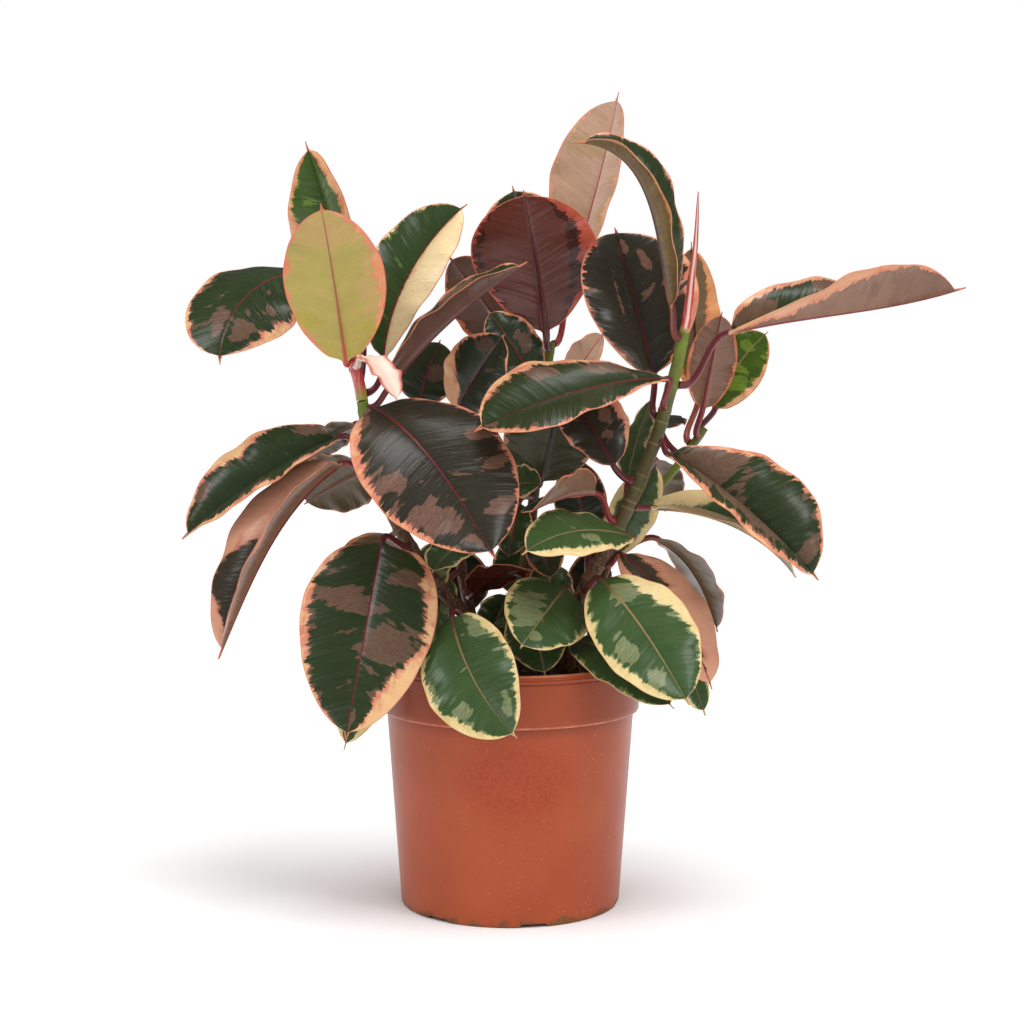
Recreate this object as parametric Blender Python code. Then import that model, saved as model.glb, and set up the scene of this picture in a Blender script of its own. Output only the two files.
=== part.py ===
"""Potted variegated rubber plant: five leafy canes in a plastic nursery pot full of soil.

The origin is at the middle of the pot's foot. The plant's showy side looks along -Y.
Lengths in the tables are millimetres and angles are degrees.
"""
import math
from collections import namedtuple

import bmesh
import bpy
from mathutils import Matrix, Vector

MM = 0.001
CLEARANCE = 0.3

# Pot, in millimetres
FOOT_RADIUS = 102.0
SHOULDER_RADIUS = 115.0
COLLAR_RADIUS = 120.0
COLLAR_BASE = 182.0
LIP_BASE = 222.0
POT_HEIGHT = 229.5
POT_WALL = 2.0
LIP_STAND_OUT = 1.2
LIP_WIDTH = 3.6
FOOT_RING_HEIGHT = 5.0
FOOT_RING_WIDTH = 5.0
FOOT_PAD_RADIUS = 14.0
FLOOR_THICKNESS = 2.0
FOOT_ROUNDING = 2.4
POT_SIDES = 44
NOTCH_WIDTH = 24.0
NOTCH_HEIGHT = 3.3
NOTCH_ANGLES = (230, 282, 350, 60, 120, 170)
DRAIN_HOLE_RADIUS = 6.0
DRAIN_RING_RADIUS = 62.0
DRAIN_HOLES = 6

# Soil, in millimetres
SOIL_EDGE_HEIGHT = 214.0
SOIL_CROWN = 11.0
SOIL_LUMP = 2.2
SOIL_RINGS = 7
SOIL_SIDES = 30
ROOT_DEPTH = 165.0
HOLE_SLACK = 0.8
ROOT_HOLE_SIDES = 16

# Leaf blades, in millimetres
BLADE_THICKNESS = 1.2
MARGIN_THICKNESS = 0.8
RIB_AT_BASE = 2.6
RIB_AT_TIP = 0.4
NECK_HALF_WIDTH = 2.9
POINT_HALF_WIDTH = 0.8
PETIOLE_RADIUS = 2.9
PETIOLE_FLARE = 0.25
BODY_END = 0.95
BODY_FULLNESS = 0.52
DRIP_TIP = 0.16
ACROSS = (-1.0, -0.5, 0.0, 0.5, 1.0)
PETIOLE_ROWS = 3
ALONG_BLADE = (0.0, 0.055, 0.17, 0.34, 0.52, 0.7, 0.86, 0.945, 1.0)

# Canes: where each one stands in the soil, the points it runs through above it, its radius at
# the soil and at the top, and the height where its bud sheath takes over
Cane = namedtuple("Cane", "foot points foot_radius top_radius bare_to")
CANES = {
    "left": Cane((-18, -8), ((-22, -8, 244), (-40, -10, 268), (-69, -12, 300), (-95, -12, 338),
                             (-116, -10, 380), (-130, -8, 430), (-138, -8, 480), (-147, -12, 514)),
                 8.5, 5.0, 468),
    "right": Cane((52, -22), ((54, -22, 244), (67, -26, 293), (93, -30, 341), (118, -30, 397),
                              (134, -28, 437), (150, -26, 493), (158, -25, 530)), 8.5, 5.5, 530),
    "centre": Cane((12, 32), ((13, 33, 250), (18, 36, 330), (28, 40, 430), (38, 40, 522)), 7.5, 4.5, 522),
    "shoot": Cane((76, 28), ((77, 29, 244), (88, 38, 300), (124, 48, 360), (160, 56, 405), (186, 60, 440)),
                  6.0, 3.6, 440),
    "back": Cane((-34, 40), ((-35, 41, 250), (-48, 48, 320), (-48, 48, 400), (-42, 44, 468)), 7.0, 4.5, 468),
}
ROOT_LEVELS = (ROOT_DEPTH, 200.0, 227.0)
CANE_SIDES = 12
CANE_STEPS = 2

# Leaves of each cane, in order: the height of the node where the petiole leaves the cane, the
# blade's two ends, the way its upper face looks, its width, and how it rises, droops, sways,
# folds and twists
Leaf = namedtuple("Leaf", "node base tip face width rise droop sway fold_left fold_right twist widest",
                  defaults=(15, 12, 0, 8, 8, 0, 0.47))
LEAVES = {
    "left": (
        Leaf(262, (-52, -84, 278), (6, -160, 183), (-.38, -.85, .35), 88, 12, 18, 12, 18, 18),
        Leaf(300, (-99, -36, 286), (-150, -70, 155), (-.4, -.8, .4), 60, 20, 8),
        Leaf(335, (-115, -62, 343), (-144, -124, 173), (-.1, -1, .35), 122, 10, 12, -2, 6, 6, 0, .38),
        Leaf(352, (-110, 10, 343), (-163, 30, 272), (-.3, .6, .7), 70, 25, 20),
        Leaf(396, (-133, 14, 404), (-195, 40, 369), (0, .75, .6), 76, 10, 10),
        Leaf(404, (-156, -10, 411), (-264, -60, 236), (-.72, -.4, .5), 88, 25, 10, 0, 50, 50),
        Leaf(428, (-159, 13, 434), (-304, -6, 340), (-.36, -.6, .72), 90, 10, 8, 0, 42, 40),
        Leaf(440, (-145, 24, 446), (-206, 60, 398), (-.3, .6, .7), 44, 20, 10),
        Leaf(452, (-125, -38, 462), (-12, -135, 334), (.1, -.72, .68), 138, 32, 18, -2, 6, 6, 0, .5),
        Leaf(460, (-112, -18, 480), (15, -50, 593), (-.62, -.1, .78), 68, 12, 8, 0, 50, 46),
        Leaf(474, (-117, 8, 506), (-40, 30, 650), (-.25, -.9, .3), 84, 10, 5, -24, 8, 40, 0, .55),
        Leaf(484, (-158, 54, 572), (-266, -12, 501), (-.28, -.66, .7), 116, 64, 54, 40, -8, -4, -45, .58),
        Leaf(500, (-157, 110, 515), (-197, 92, 714), (-.45, -.85, .2), 90, 8, 5, 14, 10, 50, 0, .55),
        Leaf(508, (-149, -28, 503), (-168, -62, 644), (.05, .95, .35), 93, 8, 10, 0, 10, 10, 0, .5),
    ),
    "right": (
        Leaf(252, (58, -54, 252), (143, -128, 203), (.2, -.75, .7), 62, 34, 16),
        Leaf(285, (50, -52, 300), (9, -116, 254), (.25, -.7, .7), 80, 15, 15, 0, 0, 0, 0, .4),
        Leaf(296, (81, -72, 310), (155, -140, 208), (.15, -.85, .5), 92, 25, 15, 0, 6, 6),
        Leaf(322, (101, -30, 329), (182, -70, 210), (.55, -.62, .56), 78, 25, 20, 0, 12, 12),
        Leaf(345, (111, -50, 346), (10, -122, 337), (0, -.6, .8), 66, 22, 38, 0, 6, 6, 0, .56),
        Leaf(356, (76, -52, 386), (17, -96, 372), (.1, .78, .6), 82, 22, 12, 0, -5, 50),
        Leaf(374, (129, -22, 371), (266, -4, 304), (.1, -.45, .88), 84, 30, 30, 0, 10, 42),
        Leaf(392, (94, -44, 410), (47, -16, 481), (.45, -.85, .2), 72, 10, 10, 0, 25, 25, 0, .5),
        Leaf(404, (134, 8, 408), (92, 14, 318), (.3, -.9, .3), 46, 10, 10),
        Leaf(432, (143, -36, 421), (276, -72, 309), (.38, -.68, .6), 112, 12, 8, 0, 42, 46, 0, .56),
        Leaf(380, (108, -8, 392), (133, 30, 470), (-.8, -.5, .2), 46, 8, 8),
        Leaf(462, (142, -44, 489), (-32, -92, 443), (0, -.5, .86), 104, 16, 14, 0, 18, 18, 0, .64),
        Leaf(484, (199, -16, 531), (412, -30, 571), (0, .02, 1), 104, 4, -8, 0, 52, 50, -80, .5),
        Leaf(308, (72, 20, 336), (60, 36, 414), (-.1, -.95, .2), 50, 8, 8),
        Leaf(452, (132, -8, 490), (97, 24, 628), (.0, -1, .15), 122, 8, 10, 0, 56, 6, 0, .54),
        Leaf(524, (147, -38, 553), (56, -62, 698), (.8, -.35, .5), 60, 18, 60, 0, 54, 54, 0, .5),
    ),
    "centre": (
        Leaf(250, (16, -34, 278), (31, -94, 227), (0, -.8, .6), 56, 20, 10),
        Leaf(392, (28, 10, 392), (43, -6, 465), (0, .9, .3), 84, 8, 8, 0, 8, 8, 0, .5),
        Leaf(452, (24, 22, 482), (-21, 10, 551), (.2, -.9, .4), 56, 12, 10),
        Leaf(474, (50, 82, 470), (92, 112, 532), (-.2, .8, .5), 42, 10, 10),
        Leaf(492, (4, 46, 520), (-58, 56, 603), (.3, .9, .3), 74, 10, 5),
        Leaf(498, (34, 66, 540), (2, 92, 672), (-.1, -.8, .5), 84, 15, 10, 0, 4, 4, 0, .62),
        Leaf(516, (33, 26, 530), (12, -44, 657), (.05, .9, .42), 116, 12, 12, 0, 8, 8, 0, .55),
        Leaf(520, (55, 56, 576), (101, 40, 754), (-.35, .93, .1), 94, 8, 5, -6, 64, 10, 0, .55),
    ),
    "shoot": (
        Leaf(292, (128, 0, 282), (181, -20, 177), (.5, -.6, .6), 60, 15, 10),
        Leaf(332, (138, 14, 339), (197, 30, 248), (.72, .35, .6), 70, 32, 20),
        Leaf(380, (140, 72, 410), (153, 118, 356), (.2, .7, .6), 46, 20, 10),
        Leaf(412, (146, 76, 440), (154, 126, 450), (.1, -.5, .85), 44, 20, 20),
        Leaf(424, (182, 88, 472), (174, 88, 618), (-.2, .9, .3), 54, 5, 5),
        Leaf(432, (182, 42, 459), (198, 26, 550), (.15, .9, .35), 46, 8, 5),
        Leaf(436, (196, 66, 458), (248, 80, 532), (.1, -.9, .3), 54, 5, 5, -15),
    ),
    "back": (
        Leaf(286, (-34, 4, 288), (18, -46, 316), (-.1, .4, .9), 58, 22, 25),
        Leaf(345, (-36, 0, 340), (-71, -46, 313), (-.3, -.6, .7), 48, 15, 20),
        Leaf(400, (-17, 0, 385), (30, -24, 392), (.1, -.7, .7), 48, 15, 20),
        Leaf(452, (-87, 40, 464), (-66, 44, 524), (-.3, -.9, .3), 66, 10, 10),
        Leaf(464, (-51, 8, 458), (-5, -16, 529), (-.3, -.9, .3), 72, 10, 10, 0, 5, 25),
    ),
}
STIPULE = Leaf(500, (-134, -36, 508), (-100, -72, 470), (.55, -.6, .6), 34, 30, 10, 0, 30, 30)

# Bud sheaths
SHEATH_POINT = 8.0
SHEATH_SIDES = 10
RIGHT_SHEATH = ((161, -25, 545), (164, -26, 575), (168, -26, 612), (170, -26, 657))
RIGHT_SHEATH_RADII = (4.4, 4.7, 4.2, 2.7, 0.8)

# Colours of the real surfaces
LEAF_GREEN = (0.035, 0.085, 0.04)
BARK_GREEN = (0.12, 0.16, 0.04)
SHEATH_PINK = (0.62, 0.12, 0.10)
POT_TERRACOTTA = (0.40, 0.10, 0.045)
SOIL_BROWN = (0.035, 0.025, 0.018)


def clear_scene():
    for old in list(bpy.data.objects):
        bpy.data.objects.remove(old, do_unlink=True)


def plain_material(name, colour, roughness):
    material = bpy.data.materials.new(name)
    material.use_nodes = True
    shader = material.node_tree.nodes["Principled BSDF"]
    shader.inputs["Base Color"].default_value = (*colour, 1.0)
    shader.inputs["Roughness"].default_value = roughness
    shader.inputs["Metallic"].default_value = 0.0
    material.diffuse_color = (*colour, 1.0)
    return material


def add_object(name, points, faces, material, smooth_angle=35.0):
    """Make a mesh object from points in millimetres."""
    mesh = bpy.data.meshes.new(name)
    mesh.from_pydata([Vector(point) * MM for point in points], [], faces)
    mesh.materials.append(material)
    mesh.shade_smooth()
    mesh.set_sharp_from_angle(angle=math.radians(smooth_angle))
    made = bpy.data.objects.new(name, mesh)
    bpy.context.collection.objects.link(made)
    return made


def smooth_path(points, steps):
    """Points on the smooth curve through the given ones."""
    knots = [Vector(point) for point in points]
    knots = [2 * knots[0] - knots[1]] + knots + [2 * knots[-1] - knots[-2]]
    path = []
    for before, start, end, after in zip(knots, knots[1:], knots[2:], knots[3:]):
        for step in range(steps):
            t = step / steps
            path.append(0.5 * (2 * start + (end - before) * t
                               + (2 * before - 5 * start + 4 * end - after) * t ** 2
                               + (3 * start - before - 3 * end + after) * t ** 3))
    path.append(knots[-2])
    return path


def bezier(ends, t):
    a, b, c, d = ends
    return (1 - t) ** 3 * a + 3 * (1 - t) ** 2 * t * b + 3 * (1 - t) * t * t * c + t ** 3 * d


def bezier_direction(ends, t):
    a, b, c, d = ends
    return ((1 - t) ** 2 * (b - a) + 2 * (1 - t) * t * (c - b) + t * t * (d - c)).normalized()


def carried(normal, start, end):
    """Turn normal by the smallest turn that takes direction start to direction end."""
    return (normal - (normal.dot(end) / (1 + start.dot(end))) * (start + end)).normalized()


def tube_faces(rings, around):
    """Triangles of a closed tube whose rings follow each other, all split the same way."""
    faces = []
    for ring in range(rings - 1):
        for side in range(around):
            a = ring * around + side
            b = ring * around + (side + 1) % around
            c, d = b + around, a + around
            faces += [(a, b, c), (a, c, d)]
    last = (rings - 1) * around
    faces += [(0, side + 1, side) for side in range(1, around - 1)]
    faces += [(last, last + side, last + side + 1) for side in range(1, around - 1)]
    return faces


def blade_faces(rings):
    """Triangles of a leaf, with each square of the blade split alike on both faces."""
    columns = len(ACROSS)
    around = 2 * columns
    faces = []
    for ring in range(rings - 1):
        for side in range(around):
            a = ring * around + side
            b = ring * around + (side + 1) % around
            c, d = b + around, a + around
            if side < columns:
                faces += [(a, b, c), (a, c, d)]
            else:
                faces += [(a, b, d), (b, c, d)]
    last = (rings - 1) * around
    for side in range(columns - 1):
        far = around - 1 - side
        faces += [(side, far, side + 1), (side + 1, far, far - 1)]
        faces.append((last + side, last + side + 1, last + far))
        faces.append((last + side + 1, last + far - 1, last + far))
    return faces


class CanePath:
    """The middle line of a cane, with its radius, looked up by height."""

    def __init__(self, cane):
        self.cane = cane
        root = [(*cane.foot, level) for level in ROOT_LEVELS]
        self.line = smooth_path(root + list(cane.points), CANE_STEPS)

    def radius(self, share):
        return self.cane.foot_radius + (self.cane.top_radius - self.cane.foot_radius) * share

    def at_height(self, height):
        line = self.line
        index = 0
        while index < len(line) - 2 and line[index + 1].z < height:
            index += 1
        low, high = line[index], line[index + 1]
        share = min(1.0, max(0.0, (height - low.z) / (high.z - low.z)))
        place = low.lerp(high, share)
        return place, (high - low).normalized(), self.radius((index + share) / (len(line) - 1))


def half_width(along, widest):
    """The blade's half width as a share of its greatest, with a drip tip at the end."""
    power = math.log(0.5) / math.log(widest / BODY_END)
    body = math.sin(math.pi * min(1.0, along / BODY_END) ** power) if along < BODY_END else 0.0
    body = max(0.0, body) ** BODY_FULLNESS
    tip = DRIP_TIP * min(1.0, (1 - along) / 0.2) * min(1.0, along / 0.5)
    return (body ** 3 + tip ** 3) ** (1 / 3)


def leaf_midrib(leaf):
    """The midrib's four curve points, its overall direction and the upper face's normal."""
    base, tip = Vector(leaf.base), Vector(leaf.tip)
    along = (tip - base).normalized()
    face = Vector(leaf.face)
    upward = (face - face.dot(along) * along).normalized()
    sideways = along.cross(upward)
    rise, droop, sway = (math.radians(angle) for angle in (leaf.rise, leaf.droop, leaf.sway))
    leaving = (along * math.cos(rise) + upward * math.sin(rise) + sideways * math.sin(sway)).normalized()
    arriving = (along * math.cos(droop) - upward * math.sin(droop) - sideways * math.sin(sway)).normalized()
    length = (tip - base).length
    first = length / (3 * math.cos(rise / 2) ** 2)
    second = length / (3 * math.cos(droop / 2) ** 2)
    return (base, base + leaving * first, tip - arriving * second, tip), along, upward


def turned_frame(tangent, normal, angle):
    side = tangent.cross(normal)
    return (normal * math.cos(angle) + side * math.sin(angle),
            side * math.cos(angle) - normal * math.sin(angle))


def blade_ring(leaf, middle, tangent, normal, along):
    """One cross-section of the blade: the upper face from left to right, then the lower face back."""
    twist = math.radians(leaf.twist) * (along - 0.5)
    normal, side = turned_frame(tangent, normal, twist)
    half = half_width(along, leaf.widest) * leaf.width / 2
    if along == 0.0:
        half = NECK_HALF_WIDTH
    half = max(half, POINT_HALF_WIDTH)
    rib = RIB_AT_TIP + (RIB_AT_BASE - RIB_AT_TIP) * (1 - along)
    upper, lower = [], []
    for across in ACROSS:
        fold = math.radians(leaf.fold_right if across > 0 else leaf.fold_left)
        reach = abs(across) * half
        outward = side * math.copysign(1.0, across)
        point = middle + (outward * math.cos(fold) + normal * math.sin(fold)) * reach
        if across == 0.0:
            down = normal * (BLADE_THICKNESS + rib)
        else:
            thickness = MARGIN_THICKNESS if abs(across) == 1.0 else BLADE_THICKNESS
            down = (normal * math.cos(fold) - outward * math.sin(fold)) * thickness
        upper.append(point)
        lower.append(point - down)
    return upper + lower[::-1]


def petiole_rings(leaf, path, base, tangent, normal):
    """Cross-sections of the petiole, from just off the cane to just before the blade."""
    place, up, radius = path.at_height(leaf.node)
    outward = base - place
    outward = (outward - outward.dot(up) * up).normalized()
    start = place + outward * (radius + CLEARANCE)
    reach = (base - start).length * 0.35
    ends = (start, start + outward * reach, base - tangent * reach, base)
    rings = []
    for row in range(PETIOLE_ROWS):
        t = row / PETIOLE_ROWS
        direction = bezier_direction(ends, t)
        above = carried(normal, tangent, direction)
        side = direction.cross(above)
        size = PETIOLE_RADIUS * (1 + PETIOLE_FLARE * (1 - t) ** 3)
        middle = bezier(ends, t) - above * BLADE_THICKNESS * t
        ring = []
        for corner in range(10):
            angle = math.radians(162 - 36 * corner)
            ring.append(middle + side * size * math.cos(angle) + above * size * math.sin(angle))
        rings.append(ring)
    return rings


def build_leaf(name, leaf, path, material):
    ends, along, upward = leaf_midrib(leaf)
    rings = []
    for share in ALONG_BLADE:
        tangent = bezier_direction(ends, share)
        normal = carried(upward, along, tangent)
        rings.append(blade_ring(leaf, bezier(ends, share), tangent, normal, share))
    tangent = bezier_direction(ends, 0.0)
    normal, _ = turned_frame(tangent, carried(upward, along, tangent), math.radians(leaf.twist) * -0.5)
    rings = petiole_rings(leaf, path, ends[0], tangent, normal) + rings
    points = [point for ring in rings for point in ring]
    return add_object(name, points, blade_faces(len(rings)), material)


def round_ring(middle, direction, radius, sides):
    side = direction.cross(Vector((0, 1, 0))).normalized()
    front = direction.cross(side)
    turns = [2 * math.pi * corner / sides for corner in range(sides)]
    return [middle + (side * math.cos(turn) + front * math.sin(turn)) * radius for turn in turns]


def tube_solid(name, line, radii, sides, material):
    """A closed tube along a line of points, with a radius at each."""
    points = []
    for index, middle in enumerate(line):
        before, after = line[max(0, index - 1)], line[min(len(line) - 1, index + 1)]
        points += round_ring(middle, (after - before).normalized(), radii[index], sides)
    return add_object(name, points, tube_faces(len(line), sides), material)


def build_cane(name, path, material):
    bare_to = path.cane.bare_to
    line = [point for point in path.line if point.z < bare_to - 4]
    radii = [path.at_height(point.z)[2] for point in line]
    top, _, top_radius = path.at_height(bare_to)
    return tube_solid("cane_" + name, line + [top], radii + [top_radius], CANE_SIDES, material)


def build_left_sheath(path, material):
    """The pink sheath that the top leaves of the left cane come out of."""
    foot, direction, radius = path.at_height(path.cane.bare_to)
    line = [foot + direction * CLEARANCE]
    line += [point for point in path.line if point.z > path.cane.bare_to + 4]
    radii = [radius] + [path.at_height(point.z)[2] for point in line[1:]]
    line.append(path.line[-1] + direction * SHEATH_POINT)
    return tube_solid("sheath_left", line, radii + [1.2], CANE_SIDES, material)


def build_right_sheath(path, material):
    """The long red sheath of the right cane's closed bud."""
    top, direction, radius = path.at_height(path.cane.bare_to)
    line = [top + direction * 2 * CLEARANCE] + [Vector(point) for point in RIGHT_SHEATH]
    return tube_solid("sheath_right", line, RIGHT_SHEATH_RADII, SHEATH_SIDES, material)


def turned_solid(name, outline, sides, material):
    """Turn an outline that starts and ends on the axis, bottom centre to top centre."""
    points = [(0.0, 0.0, outline[0][1])]
    for radius, height in outline[1:-1]:
        for corner in range(sides):
            turn = 2 * math.pi * corner / sides
            points.append((radius * math.cos(turn), radius * math.sin(turn), height))
    points.append((0.0, 0.0, outline[-1][1]))
    rings = len(outline) - 2
    top = len(points) - 1
    faces = []
    for corner in range(sides):
        after = (corner + 1) % sides
        faces.append((0, 1 + after, 1 + corner))
        faces.append((top, top - sides + corner, top - sides + after))
        for ring in range(rings - 1):
            a, b = 1 + ring * sides + corner, 1 + ring * sides + after
            faces.append((a, b, b + sides, a + sides))
    return add_object(name, points, faces, material)


def cut(target, shape):
    """Cut a mesh of separate closed shapes out of the target, and keep it hidden as a guide."""
    mesh = bpy.data.meshes.new(target.name + "_cuts")
    shape.to_mesh(mesh)
    shape.free()
    cutter = bpy.data.objects.new(target.name + "_cuts", mesh)
    bpy.context.collection.objects.link(cutter)
    cutter.hide_render = True
    cutter.display_type = "WIRE"
    cutter.hide_set(True)
    modifier = target.modifiers.new("cuts", "BOOLEAN")
    modifier.operation = "DIFFERENCE"
    modifier.object = cutter


def add_rod(shape, x, y, low, high, radius, sides):
    place = Matrix.Translation(Vector((x, y, (low + high) / 2)) * MM)
    bmesh.ops.create_cone(shape, cap_ends=True, segments=sides, radius1=radius * MM, radius2=radius * MM,
                          depth=(high - low) * MM, matrix=place)


def add_block(shape, turn, radius, length, width, height):
    """A block whose middle lies on the ground at a radius, turned about the axis."""
    place = Matrix.Rotation(turn, 4, "Z") @ Matrix.Translation((radius * MM, 0.0, 0.0))
    size = Matrix.Diagonal((length * MM, width * MM, height * MM, 1.0))
    bmesh.ops.create_cube(shape, size=1.0, matrix=place @ size)


def body_radius(height):
    """The pot's outer radius on its tapered body."""
    return FOOT_RADIUS + (SHOULDER_RADIUS - FOOT_RADIUS) * height / COLLAR_BASE


def build_pot(material):
    floor_under = FOOT_RING_HEIGHT
    floor_top = floor_under + FLOOR_THICKNESS
    ring_inner = FOOT_RADIUS - FOOT_RING_WIDTH
    collar_inner = COLLAR_RADIUS - POT_WALL
    outline = [(0, 0), (FOOT_PAD_RADIUS, 0), (FOOT_PAD_RADIUS + 1, floor_under)]
    outline += [(ring_inner - 1, floor_under), (ring_inner, 0), (FOOT_RADIUS - 1.2, 0)]
    outline += [(body_radius(FOOT_ROUNDING), FOOT_ROUNDING), (SHOULDER_RADIUS, COLLAR_BASE - 1.0)]
    outline += [(COLLAR_RADIUS - 0.8, COLLAR_BASE), (COLLAR_RADIUS, COLLAR_BASE + 1.5)]
    outline += [(COLLAR_RADIUS + 0.2, LIP_BASE), (COLLAR_RADIUS + LIP_STAND_OUT, LIP_BASE + 0.8)]
    outline += [(COLLAR_RADIUS + LIP_STAND_OUT, POT_HEIGHT - 1.5), (COLLAR_RADIUS, POT_HEIGHT)]
    outline += [(COLLAR_RADIUS - LIP_WIDTH, POT_HEIGHT), (COLLAR_RADIUS - LIP_WIDTH - 0.6, POT_HEIGHT - 1.5)]
    outline += [(collar_inner - 2, LIP_BASE - 4), (collar_inner, LIP_BASE - 7)]
    outline += [(collar_inner, COLLAR_BASE + 3), (SHOULDER_RADIUS - POT_WALL, COLLAR_BASE - 2)]
    outline += [(body_radius(floor_top) - POT_WALL, floor_top), (0, floor_top)]
    pot = turned_solid("pot", outline, POT_SIDES, material)
    cuts = bmesh.new()
    for angle in NOTCH_ANGLES:
        add_block(cuts, math.radians(angle), FOOT_RADIUS - FOOT_RING_WIDTH / 2, 4 * FOOT_RING_WIDTH,
                  NOTCH_WIDTH, 2 * NOTCH_HEIGHT)
    for number in range(DRAIN_HOLES):
        turn = 2 * math.pi * (number + 0.3) / DRAIN_HOLES
        x, y = DRAIN_RING_RADIUS * math.cos(turn), DRAIN_RING_RADIUS * math.sin(turn)
        add_rod(cuts, x, y, 1.0, floor_top + 5, DRAIN_HOLE_RADIUS, CANE_SIDES)
    cut(pot, cuts)
    return pot


def soil_lump(x, y):
    """Height of the loose surface over its even crown."""
    return SOIL_LUMP * (0.5 * math.sin(x * 0.11 + 1.3) * math.cos(y * 0.13)
                        + 0.3 * math.sin(x * 0.23 - y * 0.19) + 0.2 * math.cos(x * 0.31 + y * 0.37))


def build_soil(paths, material):
    """Fill the pot's inside to just under the rim, with a lumpy top and a hole for each cane."""
    bottom = FOOT_RING_HEIGHT + FLOOR_THICKNESS + CLEARANCE
    gap = POT_WALL + CLEARANCE + 0.3
    walls = [(body_radius(bottom) - gap, bottom), (SHOULDER_RADIUS - gap, COLLAR_BASE - 2)]
    walls += [(COLLAR_RADIUS - gap, COLLAR_BASE + 4), (COLLAR_RADIUS - gap, SOIL_EDGE_HEIGHT - 4)]
    walls += [(COLLAR_RADIUS - gap - 3, SOIL_EDGE_HEIGHT - 1)]
    outline = [(0.0, bottom)] + walls
    edge_radius = walls[-1][0]
    for ring in range(SOIL_RINGS):
        radius = edge_radius * (1 - (ring + 0.3) / (SOIL_RINGS + 0.5))
        outline.append((radius, SOIL_EDGE_HEIGHT + SOIL_CROWN * (1 - (radius / edge_radius) ** 2)))
    outline.append((0.0, SOIL_EDGE_HEIGHT + SOIL_CROWN))
    soil = turned_solid("soil", outline, SOIL_SIDES, material)
    for vertex in soil.data.vertices:
        x, y, z = vertex.co / MM
        if z > COLLAR_BASE and math.hypot(x, y) < edge_radius - 1:
            vertex.co.z += soil_lump(x, y) * MM
    cuts = bmesh.new()
    for path in paths.values():
        foot = path.line[0]
        add_rod(cuts, foot.x, foot.y, ROOT_DEPTH - CLEARANCE, POT_HEIGHT + 20,
                path.cane.foot_radius + HOLE_SLACK, ROOT_HOLE_SIDES)
    cut(soil, cuts)
    return soil


def main():
    clear_scene()
    leaf_green = plain_material("leaf_green", LEAF_GREEN, 0.3)
    bark = plain_material("cane_bark", BARK_GREEN, 0.5)
    sheath_pink = plain_material("sheath_pink", SHEATH_PINK, 0.35)
    terracotta = plain_material("pot_terracotta", POT_TERRACOTTA, 0.4)
    soil_brown = plain_material("soil_brown", SOIL_BROWN, 0.95)
    paths = {name: CanePath(cane) for name, cane in CANES.items()}
    build_pot(terracotta)
    build_soil(paths, soil_brown)
    for name, path in paths.items():
        build_cane(name, path, bark)
    for cane_name, leaves in LEAVES.items():
        for number, leaf in enumerate(leaves, 1):
            build_leaf(f"leaf_{cane_name}_{number:02d}", leaf, paths[cane_name], leaf_green)
    build_left_sheath(paths["left"], sheath_pink)
    build_right_sheath(paths["right"], sheath_pink)
    build_leaf("stipule_left", STIPULE, paths["left"], sheath_pink)


main()
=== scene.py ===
"""Potted variegated rubber plant: finished leaves, canes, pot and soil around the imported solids.

Named lengths are millimetres, angles are degrees and colours are 0 to 255, where no comment or unit
says otherwise.
"""

import math
from collections import namedtuple

import bmesh
import bpy
import numpy as np
from mathutils import Matrix, Vector


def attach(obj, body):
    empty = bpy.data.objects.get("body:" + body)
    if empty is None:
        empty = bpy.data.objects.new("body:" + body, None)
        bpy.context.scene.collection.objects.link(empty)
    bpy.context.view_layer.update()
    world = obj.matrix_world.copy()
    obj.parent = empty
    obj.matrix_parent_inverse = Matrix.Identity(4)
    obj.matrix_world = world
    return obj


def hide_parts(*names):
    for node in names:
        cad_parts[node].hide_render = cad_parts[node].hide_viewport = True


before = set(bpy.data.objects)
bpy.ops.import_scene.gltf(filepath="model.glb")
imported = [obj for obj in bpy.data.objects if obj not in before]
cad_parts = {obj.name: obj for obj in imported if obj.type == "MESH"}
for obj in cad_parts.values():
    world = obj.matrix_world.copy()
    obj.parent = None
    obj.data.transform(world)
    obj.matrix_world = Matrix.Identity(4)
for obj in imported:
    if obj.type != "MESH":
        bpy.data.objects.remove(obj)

bl_info = {
    "name": "Potted Rubber Plant",
    "version": (1, 0, 0),
    "blender": (4, 5, 0),
    "location": "View3D > Sidebar > Rubber Plant",
    "description": "Builds a potted variegated rubber plant around its packed solids",
    "category": "Add Mesh",
}

MM = 0.001
CLEARANCE = 0.3

# Canes: where each one stands in the soil, the points it runs through above it, its radius at
# the soil and at the top, and the height where its bud sheath takes over
Cane = namedtuple("Cane", "foot points foot_radius top_radius bare_to")
CANES = {
    "left": Cane((-18, -8), ((-22, -8, 244), (-40, -10, 268), (-69, -12, 300), (-95, -12, 338),
                             (-116, -10, 380), (-130, -8, 430), (-138, -8, 480), (-147, -12, 514)),
                 8.5, 5.0, 468),
    "right": Cane((52, -22), ((54, -22, 244), (67, -26, 293), (93, -30, 341), (118, -30, 397),
                              (134, -28, 437), (150, -26, 493), (158, -25, 530)), 8.5, 5.5, 530),
    "centre": Cane((12, 32), ((13, 33, 250), (18, 36, 330), (28, 40, 430), (38, 40, 522)), 7.5, 4.5, 522),
    "shoot": Cane((76, 28), ((77, 29, 244), (88, 38, 300), (124, 48, 360), (160, 56, 405), (186, 60, 440)),
                  6.0, 3.6, 440),
    "back": Cane((-34, 40), ((-35, 41, 250), (-48, 48, 320), (-48, 48, 400), (-42, 44, 468)),
                 7.0, 4.5, 468),
}
ROOT_LEVELS = (165.0, 200.0, 227.0)
PATH_STEPS = 2
FINE_PATH_STEPS = 24

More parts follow.
